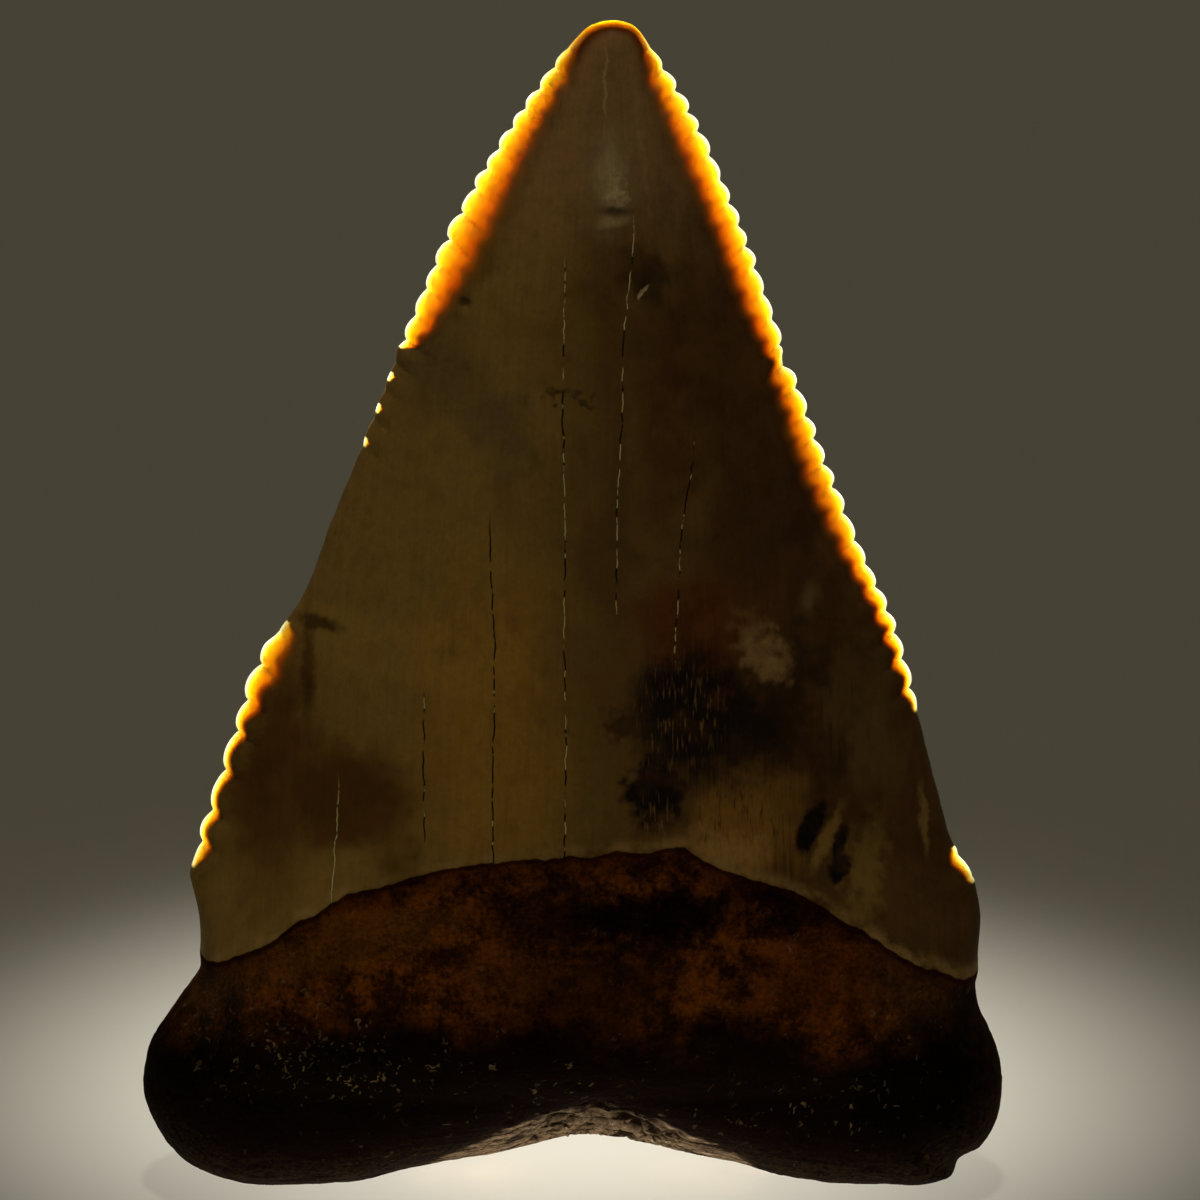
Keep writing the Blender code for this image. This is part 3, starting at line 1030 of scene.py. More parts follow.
class Value:
    """An output socket in a node tree. Python's operators on it add Math nodes."""

    def __init__(self, graph: "Graph", socket: bpy.types.NodeSocket) -> None:
        """Keeps the socket and the graph that it is in."""
        self.graph = graph
        self.socket = socket

    def __add__(self, other: "Value | float") -> "Value":
        """Adds two values."""
        return self.graph.math("ADD", self, other)

    __radd__ = __add__

    def __sub__(self, other: "Value | float") -> "Value":
        """Subtracts a value from this one."""
        return self.graph.math("SUBTRACT", self, other)

    def __rsub__(self, other: float) -> "Value":
        """Subtracts this value from a number."""
        return self.graph.math("SUBTRACT", other, self)

    def __mul__(self, other: "Value | float") -> "Value":
        """Multiplies two values."""
        return self.graph.math("MULTIPLY", self, other)

    __rmul__ = __mul__

    def __truediv__(self, other: "Value | float") -> "Value":
        """Divides this value by another."""
        return self.graph.math("DIVIDE", self, other)


class Graph:
    """A shader or geometry node tree that is being built."""

    def __init__(self, tree: bpy.types.NodeTree) -> None:
        """Starts with an empty tree."""
        self.tree = tree
        self.tree.nodes.clear()

    def node(
        self,
        kind: str,
        settings: dict[str, Any] | None = None,
        inputs: dict[int | str, Any] | None = None,
    ) -> bpy.types.Node:
        """Adds a node.

        Args:
            kind: The node's type.
            settings: Its settings, which are set first. "stops" are a colour ramp's places and colours.
            inputs: Values or links of its sockets, by name or number.

        Returns:
            The node.
        """
        made = self.tree.nodes.new(kind)
        for name, value in (settings or {}).items():
            if name == "stops":
                self.set_stops(made.color_ramp, value)
            else:
                setattr(made, name, value)
        for name, value in (inputs or {}).items():
            if isinstance(value, Value):
                self.tree.links.new(value.socket, made.inputs[name])
            else:
                made.inputs[name].default_value = value
        return made

    @staticmethod
    def set_stops(ramp: bpy.types.ColorRamp, stops: tuple[tuple[float, Colour], ...]) -> None:
        """Gives a colour ramp its stops.

        Args:
            ramp: The ramp.
            stops: Place and colour of each stop.
        """
        while len(ramp.elements) < len(stops):
            ramp.elements.new(1.0)
        for element, (place, colour) in zip(ramp.elements, stops):
            element.position = place
            element.color = (*colour, 1.0)

    def read(self, kind: str, output: int | str = 0, **more: Any) -> Value:
        """Adds a node as node() does, and gives one of its outputs."""
        return Value(self, self.node(kind, **more).outputs[output])

    def math(self, operation: str, *values: "Value | float", clamp: bool = False) -> Value:
        """Adds a Math node."""
        settings = {"operation": operation, "use_clamp": clamp}
        return self.read("ShaderNodeMath", settings=settings, inputs=dict(enumerate(values)))

    def clamped(self, value: Value) -> Value:
        """The value held between 0 and 1."""
        return self.math("ADD", value, 0.0, clamp=True)

    def rise(self, value: Value, low: "Value | float", high: "Value | float") -> Value:
        """0 where the value is at low, 1 where it is at high, and a smooth rise between them.

        Args:
            value: The value.
            low: Where the rise starts.
            high: Where it ends, above low or below it.

        Returns:
            The rise, from 0 to 1.
        """
        settings = {"interpolation_type": "SMOOTHSTEP"}
        ends = {"Value": value, "From Min": low, "From Max": high}
        return self.read("ShaderNodeMapRange", settings=settings, inputs=ends)

    def vector(self, x: "Value | float", y: "Value | float", z: "Value | float") -> Value:
        """A vector of three values."""
        return self.read("ShaderNodeCombineXYZ", inputs={0: x, 1: y, 2: z})

    def vector_math(self, operation: str, *values: Any, output: str = "Vector") -> Value:
        """Adds a Vector Math node."""
        settings = {"operation": operation}
        return self.read("ShaderNodeVectorMath", output, settings=settings, inputs=dict(enumerate(values)))

    def scaled(self, vector: Value, factor: "Value | float") -> Value:
        """A vector or a colour times a value."""
        inputs = {0: vector, "Scale": factor}
        return self.read("ShaderNodeVectorMath", settings={"operation": "SCALE"}, inputs=inputs)

    def parts(self, vector: Value) -> tuple[Value, Value, Value]:
        """The three values of a vector."""
        made = self.node("ShaderNodeSeparateXYZ", inputs={0: vector})
        return tuple(Value(self, made.outputs[index]) for index in range(3))

    def noise(
        self, vector: Value, scale: "Value | float", detail: float = 2.0, rough: float = 0.5
    ) -> Value:
        """Noise from 0 to 1 at each place."""
        inputs = {"Vector": vector, "Scale": scale, "Detail": detail, "Roughness": rough}
        return self.read("ShaderNodeTexNoise", inputs=inputs)

    def cells(self, vector: Value, scale: float, feature: str = "F1", output: str = "Distance") -> Value:
        """Cell noise at each place."""
        inputs = {"Vector": vector, "Scale": scale}
        return self.read("ShaderNodeTexVoronoi", output, settings={"feature": feature}, inputs=inputs)

    def mix(self, factor: "Value | float", low: "Value | Colour", high: "Value | Colour") -> Value:
        """A colour between two others.

        Args:
            factor: Share of the second colour.
            low: The first colour.
            high: The second colour.

        Returns:
            The colour.
        """
        colours = [value if isinstance(value, Value) else (*value, 1.0) for value in (low, high)]
        settings = {"data_type": "RGBA", "clamp_factor": True}
        inputs = {0: factor, 6: colours[0], 7: colours[1]}
        return self.read("ShaderNodeMix", 2, settings=settings, inputs=inputs)


# How far apart the two faces read the noise of the fibres, so that they don't repeat each other
FACE_GAP = 9.0


@dataclass(frozen=True)
class ReliefSizes:
    """Sizes of the relief, each of which is an input of the relief's node tree.

    Depths, spacings, reaches and places are in millimetres. A rate says how often a form changes in a
    millimetre, or from the middle of the crown to its edge for wave_rate.
    """

    wave_depth: float = 0.06
    wave_rate: float = 3.0
    wave_rate_down: float = 0.12
    wave_reach: float = 2.0
    groove_depth: float = 0.20
    lump_depth: float = 0.20
    lump_rate: float = 0.45
    grain_depth: float = 0.07
    grain_rate: float = 2.3
    fibre_depth: float = 0.12
    fibre_rate: float = 2.4
    fibre_rate_along: float = 0.4
    fibre_reach: float = 5.0
    pore_depth: float = 0.16
    pore_spacing: float = 1.3
    pore_patch_rate: float = 0.5
    web_depth: float = 0.45
    web_spacing: float = 1.25
    web_flatness: float = 1.7
    web_x: float = 1.2
    web_half_width: float = 4.0


class Relief:
    """Geometry Nodes that carve the small forms into the tooth."""

    def __init__(self, sizes: ReliefSizes) -> None:
        """Keeps the depths and spacings."""
        self.sizes = sizes

    def tree(self) -> bpy.types.NodeTree:
        """The node tree, with one named input for each size.

        Returns:
            The node tree.
        """
        tree = bpy.data.node_groups.new("Tooth relief", "GeometryNodeTree")
        graph = Graph(tree)
        tree.interface.new_socket("Geometry", in_out="OUTPUT", socket_type="NodeSocketGeometry")
        tree.interface.new_socket("Geometry", in_out="INPUT", socket_type="NodeSocketGeometry")
        for name, size in vars(self.sizes).items():
            socket = tree.interface.new_socket(name, in_out="INPUT", socket_type="NodeSocketFloat")
            socket.default_value = size
        tree.interface.new_socket("Material", in_out="INPUT", socket_type="NodeSocketMaterial")
        entry = graph.node("NodeGroupInput")
        given = {socket.name: Value(graph, socket) for socket in entry.outputs if socket.name}
        place = graph.scaled(graph.read("GeometryNodeInputPosition"), 1.0 / MM)
        on_root = graph.rise(self.attribute(graph, "above"), 0.05, -0.6)
        cavity = self.cavities(graph, given, place) * on_root
        depth = self.enamel(graph, given, place) + self.root(graph, given, place) * on_root
        cavity = cavity + self.attribute(graph, "dent")
        depth = depth + cavity
        inputs = {"Geometry": given["Geometry"], "Name": "cavity", "Value": cavity}
        noted = graph.read("GeometryNodeStoreNamedAttribute", settings={"data_type": "FLOAT"}, inputs=inputs)
        offset = graph.scaled(graph.read("GeometryNodeInputNormal"), depth * -MM)
        moved = graph.read("GeometryNodeSetPosition", inputs={"Geometry": noted, "Offset": offset})
        x, y, z = graph.parts(graph.read("GeometryNodeInputPosition"))
        level = graph.vector(x, y, graph.math("MAXIMUM", z, 0.0))
        moved = graph.read("GeometryNodeSetPosition", inputs={"Geometry": moved, "Position": level})
        real = graph.read("GeometryNodeRealizeInstances", inputs={"Geometry": moved})
        inputs = {"Geometry": real, "Material": given["Material"]}
        dressed = graph.read("GeometryNodeSetMaterial", inputs=inputs)
        graph.node("NodeGroupOutput", inputs={"Geometry": dressed})
        return tree

    @staticmethod
    def attribute(graph: Graph, name: str) -> Value:
        """One of the measures that the tooth's points carry."""
        settings = {"data_type": "FLOAT"}
        return graph.read("GeometryNodeInputNamedAttribute", settings=settings, inputs={"Name": name})

    def enamel(self, graph: Graph, given: dict[str, Value], place: Value) -> Value:
        """Depth carved from the enamel: its long waves, and the grooves between serrations.

        Args:
            graph: The relief's graph.
            given: The tree's inputs, by name.
            place: Where each point is, in millimetres.

        Returns:
            The depth in millimetres.
        """
        on_crown = graph.rise(self.attribute(graph, "above"), -0.1, 0.1)
        edge = self.attribute(graph, "edge")
        z = graph.parts(place)[2]
        across, face = self.attribute(graph, "across"), self.attribute(graph, "lingual")
        stretched = graph.vector(across * given["wave_rate"], face, z * given["wave_rate_down"])
        inside = graph.rise(edge, 0.3, given["wave_reach"])
        wave = graph.noise(stretched, 1.0) * given["wave_depth"] * inside
        groove = self.attribute(graph, "valley") * given["groove_depth"] * graph.rise(edge, 0.0, 0.3)
        return (wave + groove) * on_crown

    def root(self, graph: Graph, given: dict[str, Value], place: Value) -> Value:
        """Depth carved from the root: lumps, grain, and fibres along its lower edge.

        Args:
            graph: The relief's graph.
            given: The tree's inputs, by name.
            place: Where each point is, in millimetres.

        Returns:
            The depth in millimetres.
        """
        edge = self.attribute(graph, "edge")
        lumps = graph.noise(place, given["lump_rate"]) * given["lump_depth"]
        grain = graph.noise(place, given["grain_rate"]) * given["grain_depth"]
        along, across = graph.parts(place)[0] * given["fibre_rate_along"], edge * given["fibre_rate"]
        drawn = graph.vector(along, across, self.attribute(graph, "lingual") * FACE_GAP)
        reach = graph.rise(edge, given["fibre_reach"], 1.0)
        fibres = graph.noise(drawn, 1.0, 3.0) * given["fibre_depth"] * reach
        return lumps + grain + fibres

    def cavities(self, graph: Graph, given: dict[str, Value], place: Value) -> Value:
        """Depth of the pores, and of the cavities that a web of ridges leaves over the arch.

        Args:
            graph: The relief's graph.
            given: The tree's inputs, by name.
            place: Where each point is, in millimetres.

        Returns:
            The depth in millimetres.
        """
        hollow = self.attribute(graph, "hollow")
        x, y, z = graph.parts(place)
        spacing = given["pore_spacing"]
        cells = graph.cells(graph.vector_math("DIVIDE", place, graph.vector(spacing, spacing, spacing)), 1.0)
        chosen = graph.rise(graph.noise(place, given["pore_patch_rate"], 1.0), 0.45, 0.6) * (1.0 - hollow)
        pores = graph.rise(cells, 0.26, 0.06) * given["pore_depth"] * chosen
        spacing = given["web_spacing"]
        squeezed = graph.vector(x / spacing, y / spacing, z * given["web_flatness"] / spacing)
        web = graph.rise(graph.cells(squeezed, 1.0, "DISTANCE_TO_EDGE"), 0.02, 0.24) * given["web_depth"]
        middle = graph.rise(graph.math("ABSOLUTE", x - given["web_x"]), given["web_half_width"], 1.2)
        return pores + web * middle * hollow


# How bright a white tooth would look in the studio's light, as a share of full white
LIGHT_LEVEL = 0.19


def albedo(tone: Colour) -> Colour:
    """Turns a tone as seen into the reflectance that shows it in this light.

    Args:
        tone: Red, green and blue as seen, up to 255.

    Returns:
        Red, green and blue of the reflectance, up to 1.
    """
    shares = [value / 255.0 for value in tone]
    linear = [((share + 0.055) / 1.055) ** 2.4 if share > 0.04045 else share / 12.92 for share in shares]
    return tuple(min(0.9, value / LIGHT_LEVEL) for value in linear)


class Border(Enum):
    """How the edge of a patch runs."""

    PLAIN = "in a nearly even line"
    CLOUDY = "in soft bays"
    RAGGED = "in small rags"
    FIBROUS = "in streaks down the tooth"
    THREADS = "as fine threads down the tooth"


class Sites:
    """Places and measures that the finishes of the tooth read."""

    names = (
        "above", "edge", "across", "lingual", "valley", "amber",
        "crack", "opened", "pale", "hollow", "cavity",
    )
    # Scale, detail and roughness of each noise
    clouds = (0.16, 3.0, 0.55)
    mottles = (0.9, 3.0, 0.6)
    grains = (5.0, 2.0, 0.65)
    # How often streaks and threads change across and along the tooth
    streaks = (4.5, 0.22)
    threads = (9.0, 1.3)
    # The two faces read streaks and threads this far apart, so that they don't repeat each other
    face_gap = 40.0
    # How often the noises change that push the borders of patches about
    wide_push = 0.45
    narrow_push = 1.6
    # How far flecks are frayed and fibrous borders drawn out, in millimetres
    fray = 1.2
    drawn_out = 3.6

    def __init__(self, graph: Graph) -> None:
        """Sets out the shared nodes.

        Args:
            graph: The material's graph.
        """
        self.graph = graph
        self.place = graph.scaled(graph.read("ShaderNodeTexCoord", "Object"), 1.0 / MM)
        self.x, _, self.z = graph.parts(self.place)
        self.read = {
            name: graph.read("ShaderNodeAttribute", "Fac", settings={"attribute_name": name})
            for name in self.names
        }
        self.on_crown = graph.rise(self.read["above"], 0.06, 0.14)
        self.down = self.x * 0.75 + self.read["across"] * 2.6
        self.down_only = graph.vector(self.x * 0.1, 0.0, self.z)
        self.side = self.read["lingual"] * self.face_gap
        self.streak = graph.noise(self.drawn_down(*self.streaks), 1.0, 3.0, 0.6)
        self.thread = graph.noise(self.drawn_down(*self.threads), 1.0)
        self.cloud = graph.noise(self.place, *self.clouds)
        self.mottle = graph.noise(self.place, *self.mottles)
        self.grain = graph.noise(self.place, *self.grains)
        flat = graph.vector_math("MULTIPLY", self.place, (1.0, 0.0, 1.0))
        wide, narrow = self.push(self.wide_push), self.push(self.narrow_push)
        self.frayed = graph.vector_math("ADD", self.place, graph.scaled(narrow, self.fray))
        drawn = graph.vector(0.0, 0.0, (self.streak - 0.5) * self.drawn_out)
        self.borders = {
            Border.PLAIN: self.pushed(flat, narrow, 0.3),
            Border.CLOUDY: self.pushed(flat, wide, 2.2),
            Border.RAGGED: self.pushed(self.pushed(flat, wide, 0.6), narrow, 1.0),
            Border.FIBROUS: graph.vector_math("ADD", self.pushed(flat, wide, 1.8), drawn),
            Border.THREADS: graph.vector_math("ADD", flat, drawn),
        }

    def drawn_down(self, across: float, along: float) -> Value:
        """Places for a noise that is drawn out down the tooth, from how often it changes each way."""
        return self.graph.vector(self.down * across, self.side, self.z * along)

    def bump(self, height: Value) -> Value:
        """The normal that a relief in millimetres gives."""
        inputs = {"Strength": 1.0, "Distance": MM, "Height": height}
        return self.graph.read("ShaderNodeBump", "Normal", inputs=inputs)

    def push(self, scale: float) -> Value:
        """A noise vector about (0, 0, 0).

        Args:
            scale: How often the noise changes in a millimetre.

        Returns:
            The vector.
        """
        inputs = {"Vector": self.place, "Scale": scale, "Detail": 2.0, "Roughness": 0.6}
        made = self.graph.read("ShaderNodeTexNoise", "Color", inputs=inputs)
        return self.graph.vector_math("SUBTRACT", made, (0.5, 0.5, 0.5))

    def pushed(self, flat: Value, push: Value, reach: float) -> Value:
        """Pushes places about by a noise vector, so that a round patch gets an uneven edge.

        Args:
            flat: The places, without their depth.
            push: The noise vector.
            reach: How far it pushes.

        Returns:
            The new places.
        """
        push = self.graph.vector_math("MULTIPLY", push, (2.0 * reach, 0.0, 2.0 * reach))
        return self.graph.vector_math("ADD", flat, push)


@dataclass(frozen=True)
class TonePatch:
    """A patch of another tone: mostly a stain, and on the enamel some painted highlights, sheen and shade.

    Attributes:
        x: Place of its middle.
        z: Height of its middle.
        half_width: Half its width.
        half_height: Half its height.
        tone: Its tone as seen.
        strength: How much of the ground it hides.
        softness: How softly it ends, as a share of its half width.
        border: How its edge runs.
        turn: How far its upper end leans to the right, in degrees.
        face: The face that it is on.
    """

    x: float
    z: float
    half_width: float
    half_height: float
    tone: Colour
    strength: float = 0.8
    softness: float = 0.5
    border: Border = Border.CLOUDY
    turn: float = 0.0
    face: Face = Face.LINGUAL

    def mask(self, sites: Sites) -> Value:
        """How much of each place the patch covers, on both faces.

        Args:
            sites: Places and measures on the tooth.

        Returns:
            A share, up to the patch's strength.
        """
        graph = sites.graph
        inputs = {
            "Vector": sites.borders[self.border],
            "Location": (self.x, 0.0, self.z),
            "Rotation": (0.0, math.radians(self.turn), 0.0),
            "Scale": (self.half_width, 1.0, self.half_height),
        }
        inner = graph.read("ShaderNodeMapping", settings={"vector_type": "TEXTURE"}, inputs=inputs)
        reach = graph.vector_math("LENGTH", inner, output="Value")
        mask = graph.rise(reach, 1.0 + self.softness, 1.0 - self.softness) * self.strength
        if self.border is Border.FIBROUS:
            return mask * graph.rise(sites.thread * 0.5 + sites.streak * 0.5, 0.30, 0.48)
        if self.border is Border.THREADS:
            return mask * graph.rise(sites.thread, 0.54, 0.70)
        return mask

    def over(self, ground: Value, sites: Sites) -> Value:
        """Lays the patch over a ground colour, on its own face.

        Args:
            ground: The colour under it.
            sites: Places and measures on the tooth.

        Returns:
            The colour with the patch.
        """
        lingual = sites.read["lingual"]
        side = lingual if self.face is Face.LINGUAL else 1.0 - lingual
        return sites.graph.mix(self.mask(sites) * side, ground, albedo(self.tone))


# Pale dust in the root's pores
FLECK_TONE = (66, 54, 36)
# Stains on the enamel, with painted sheen, highlights and shade near the tip and a painted glint near the
# right edge
ENAMEL_STAINS_AND_PAINTED_LIGHT = (
    TonePatch(-3.3, 20.6, 2.8, 5.6, (84, 59, 16), 0.65, 0.6),
    TonePatch(-8.4, 24.5, 2.2, 3.0, (74, 56, 21), 0.5, 0.7),
    TonePatch(1.7, 36.4, 1.3, 3.8, (40, 25, 6), 0.65, 0.6),
    TonePatch(1.6, 28.0, 1.0, 4.0, (36, 22, 6), 0.5, 0.6, Border.FIBROUS),
    TonePatch(3.7, 32.2, 0.8, 3.6, (36, 15, 3), 0.55, 0.6, Border.FIBROUS),
    TonePatch(-2.9, 31.9, 1.5, 1.4, (43, 34, 20), 0.6, 0.6),
    TonePatch(-5.2, 34.0, 1.6, 1.8, (43, 32, 17), 0.5, 0.7),
    TonePatch(8.6, 27.6, 2.0, 2.6, (28, 14, 4), 0.65, 0.7),
    TonePatch(3.0, 37.7, 0.9, 0.8, (24, 13, 3), 0.75, 0.6),
    # Painted sheen and highlight on the worn bump above the dimple near the tip
    TonePatch(1.40, 42.2, 0.9, 2.4, (70, 56, 34), 0.6, 0.8),
    TonePatch(1.50, 41.6, 0.45, 1.3, (96, 82, 56), 0.5, 0.95, Border.PLAIN),
    TonePatch(1.60, 41.2, 0.22, 0.7, (112, 98, 70), 0.5, 0.9, Border.RAGGED),
    # Painted shade in the dimple near the tip, and a painted highlight on the raised lip below it
    TonePatch(1.72, 40.42, 0.55, 0.18, (24, 15, 6), 0.7, 0.8, Border.PLAIN),
    TonePatch(1.60, 40.00, 0.60, 0.12, (82, 68, 44), 0.5, 0.8, Border.PLAIN, -8.0),
    # Painted highlight along the ridge near the tip
    TonePatch(1.30, 45.3, 0.06, 1.3, (104, 84, 52), 0.5, 0.7, Border.PLAIN),
    TonePatch(2.75, 42.9, 0.10, 2.2, (84, 62, 38), 0.40, 0.8, Border.PLAIN, -8.0),
    TonePatch(-4.36, 36.5, 0.26, 0.22, (20, 12, 4), 0.7, 0.5, Border.PLAIN),
    TonePatch(-0.63, 33.35, 0.42, 0.28, (24, 14, 4), 0.75, 0.5, Border.RAGGED),
    TonePatch(0.35, 33.1, 0.50, 0.26, (26, 15, 4), 0.7, 0.5, Border.RAGGED),
    TonePatch(-10.3, 23.25, 0.80, 0.24, (32, 18, 2), 0.9, 0.6, Border.PLAIN),
    TonePatch(-10.8, 21.4, 0.26, 1.9, (36, 22, 3), 0.9, 0.8, Border.PLAIN),
    TonePatch(-9.2, 17.0, 2.5, 2.1, (38, 18, 0), 0.85, 0.5),
    TonePatch(-12.6, 15.3, 1.5, 2.6, (42, 22, 1), 0.75, 0.7),
    TonePatch(-12.4, 18.6, 1.2, 2.8, (44, 22, 2), 0.8, 0.7, turn=20.0),
    TonePatch(5.0, 23.9, 2.4, 1.7, (46, 19, 2), 0.8, 0.6),
    TonePatch(9.3, 19.4, 2.0, 3.2, (26, 13, 2), 0.7, 0.6),
    TonePatch(9.2, 22.3, 0.5, 2.0, (20, 10, 3), 0.7, 0.6, Border.FIBROUS),
    TonePatch(7.35, 23.6, 0.5, 0.9, (72, 54, 28), 0.6, 0.9, Border.RAGGED, -30.0),
    TonePatch(7.95, 22.6, 0.6, 0.9, (84, 64, 36), 0.7, 0.8, Border.RAGGED, -50.0),
    TonePatch(12.2, 19.2, 0.8, 3.2, (54, 40, 17), 0.6, 0.7, turn=-12.0),
    TonePatch(11.7, 25.5, 0.9, 2.2, (50, 32, 8), 0.5, 0.7, turn=-20.0),
    TonePatch(9.6, 24.6, 0.35, 0.55, (66, 50, 28), 0.45, 0.8, Border.PLAIN, 30.0),
    TonePatch(10.6, 20.7, 0.6, 1.5, (52, 38, 16), 0.55, 0.6, Border.FIBROUS),
    TonePatch(6.9, 16.2, 2.1, 2.4, (70, 47, 14), 0.9, 0.45, Border.FIBROUS),
    TonePatch(4.6, 21.0, 2.0, 2.0, (9, 4, 1), 0.9, 0.5, Border.RAGGED),
    TonePatch(4.9, 20.9, 2.2, 2.1, (7, 3, 1), 0.9, 0.5, Border.FIBROUS),
    TonePatch(7.1, 19.8, 1.9, 1.7, (11, 5, 1), 0.9, 0.6, Border.RAGGED, -20.0),
    TonePatch(5.9, 21.2, 0.3, 0.5, (40, 17, 7), 0.5, 0.8, Border.RAGGED),
    TonePatch(2.0, 20.6, 0.7, 0.5, (26, 14, 4), 0.8, 0.5, Border.RAGGED),
    TonePatch(3.3, 17.9, 1.15, 1.35, (5, 2, 1), 0.98, 0.4, Border.RAGGED),
    TonePatch(4.4, 20.8, 1.7, 2.0, (66, 48, 24), 0.7, 0.5, Border.THREADS),
    TonePatch(3.5, 16.8, 0.8, 1.0, (66, 46, 22), 0.7, 0.5, Border.THREADS),
    TonePatch(6.2, 16.8, 2.2, 2.4, (24, 11, 3), 0.8, 0.5, Border.THREADS),
    TonePatch(6.0, 15.4, 1.6, 0.8, (92, 68, 34), 0.6, 0.6, Border.RAGGED, 12.0),
    TonePatch(10.35, 15.3, 0.26, 1.2, (70, 52, 20), 0.8, 0.5, Border.PLAIN, 30.0),
    TonePatch(11.9, 14.0, 0.9, 1.5, (66, 50, 18), 0.7, 0.6, Border.RAGGED),
    TonePatch(9.66, 15.80, 0.46, 0.95, (3, 1, 0), 1.0, 0.25, Border.PLAIN, 28.0),
    TonePatch(10.80, 14.85, 0.26, 0.75, (4, 2, 1), 1.0, 0.35, Border.PLAIN, 14.0),
    TonePatch(10.80, 14.05, 0.42, 0.45, (4, 2, 1), 1.0, 0.3, Border.PLAIN),
    # Painted glint along the groove near the right edge
    TonePatch(14.35, 15.1, 0.16, 1.2, (80, 64, 32), 0.6, 0.6, Border.PLAIN, -5.0),
    TonePatch(2.83, 37.25, 0.10, 0.32, (96, 82, 56), 0.85, 0.4, Border.PLAIN, 35.0),
    TonePatch(3.0, 33.0, 3.2, 7.0, (66, 50, 24), 0.6, 0.6, turn=6.0, face=Face.LABIAL),
    TonePatch(-4.5, 22.0, 3.6, 5.0, (38, 24, 6), 0.7, 0.6, face=Face.LABIAL),
    TonePatch(6.0, 17.5, 3.2, 3.4, (34, 18, 4), 0.75, 0.6, turn=20.0, face=Face.LABIAL),
    TonePatch(0.5, 13.0, 5.5, 2.0, (76, 58, 30), 0.6, 0.6, Border.FIBROUS, face=Face.LABIAL),
    TonePatch(-9.4, 12.8, 1.4, 1.0, (20, 11, 4), 0.7, 0.7, Border.FIBROUS, face=Face.LABIAL),
    TonePatch(2.4, 22.5, 0.8, 2.4, (18, 9, 3), 0.8, 0.5, Border.FIBROUS, -12.0, Face.LABIAL),
    TonePatch(10.8, 13.0, 1.7, 0.8, (72, 55, 28), 0.5, 0.8, Border.FIBROUS, face=Face.LABIAL),
)
ROOT_STAINS = (
    TonePatch(-9.6, 11.2, 0.9, 5.0, (54, 29, 4), 0.8, 0.5, Border.RAGGED, 72.0),
    TonePatch(10.5, 10.2, 3.0, 1.6, (44, 18, 2), 0.75, 0.6, Border.RAGGED),
    TonePatch(14.4, 9.9, 2.2, 1.8, (34, 21, 8), 0.7, 0.7, Border.RAGGED),
    TonePatch(17.2, 5.6, 1.0, 3.2, (24, 12, 3), 0.8, 0.7, Border.RAGGED),
    TonePatch(-2.6, 10.7, 2.4, 1.1, (46, 22, 4), 0.6, 0.7, Border.RAGGED),
    TonePatch(-0.9, 13.0, 2.6, 1.0, (13, 4, 1), 0.8, 0.6, Border.RAGGED),
    TonePatch(1.2, 10.2, 3.0, 1.7, (17, 6, 1), 0.75, 0.6, Border.RAGGED),
    TonePatch(3.0, 12.9, 3.6, 1.0, (4, 1, 0), 0.95, 0.5, Border.RAGGED),
    TonePatch(8.8, 12.9, 0.7, 2.6, (7, 2, 1), 0.85, 0.5, Border.RAGGED, 115.0),
    TonePatch(-14.7, 8.9, 1.7, 1.5, (32, 22, 10), 0.6, 0.7, Border.RAGGED),
    TonePatch(-10.0, 5.9, 6.6, 2.4, (5, 2, 0), 0.95, 0.5, Border.RAGGED),
    TonePatch(-1.0, 7.3, 5.0, 1.7, (5, 1, 0), 0.9, 0.6, Border.RAGGED),
    TonePatch(6.5, 6.4, 4.2, 1.7, (6, 2, 0), 0.85, 0.6, Border.RAGGED),
    TonePatch(14.2, 5.2, 2.8, 2.0, (2, 1, 0), 0.97, 0.5, Border.RAGGED),
)


# Where the root has more flecks, as the places, sizes and strengths of patches
FLECKED = tuple(
    TonePatch(x, z, half_width, half_height, FLECK_TONE, strength, 0.6, Border.RAGGED)
    for x, z, half_width, half_height, strength in (
        (-11.2, 7.0, 4.8, 2.3, 0.8),
        (9.6, 4.4, 3.4, 1.7, 0.5),
        (13.5, 8.0, 2.4, 1.2, 0.4),
        (-3.0, 6.0, 4.5, 2.0, 0.35),
    )
)


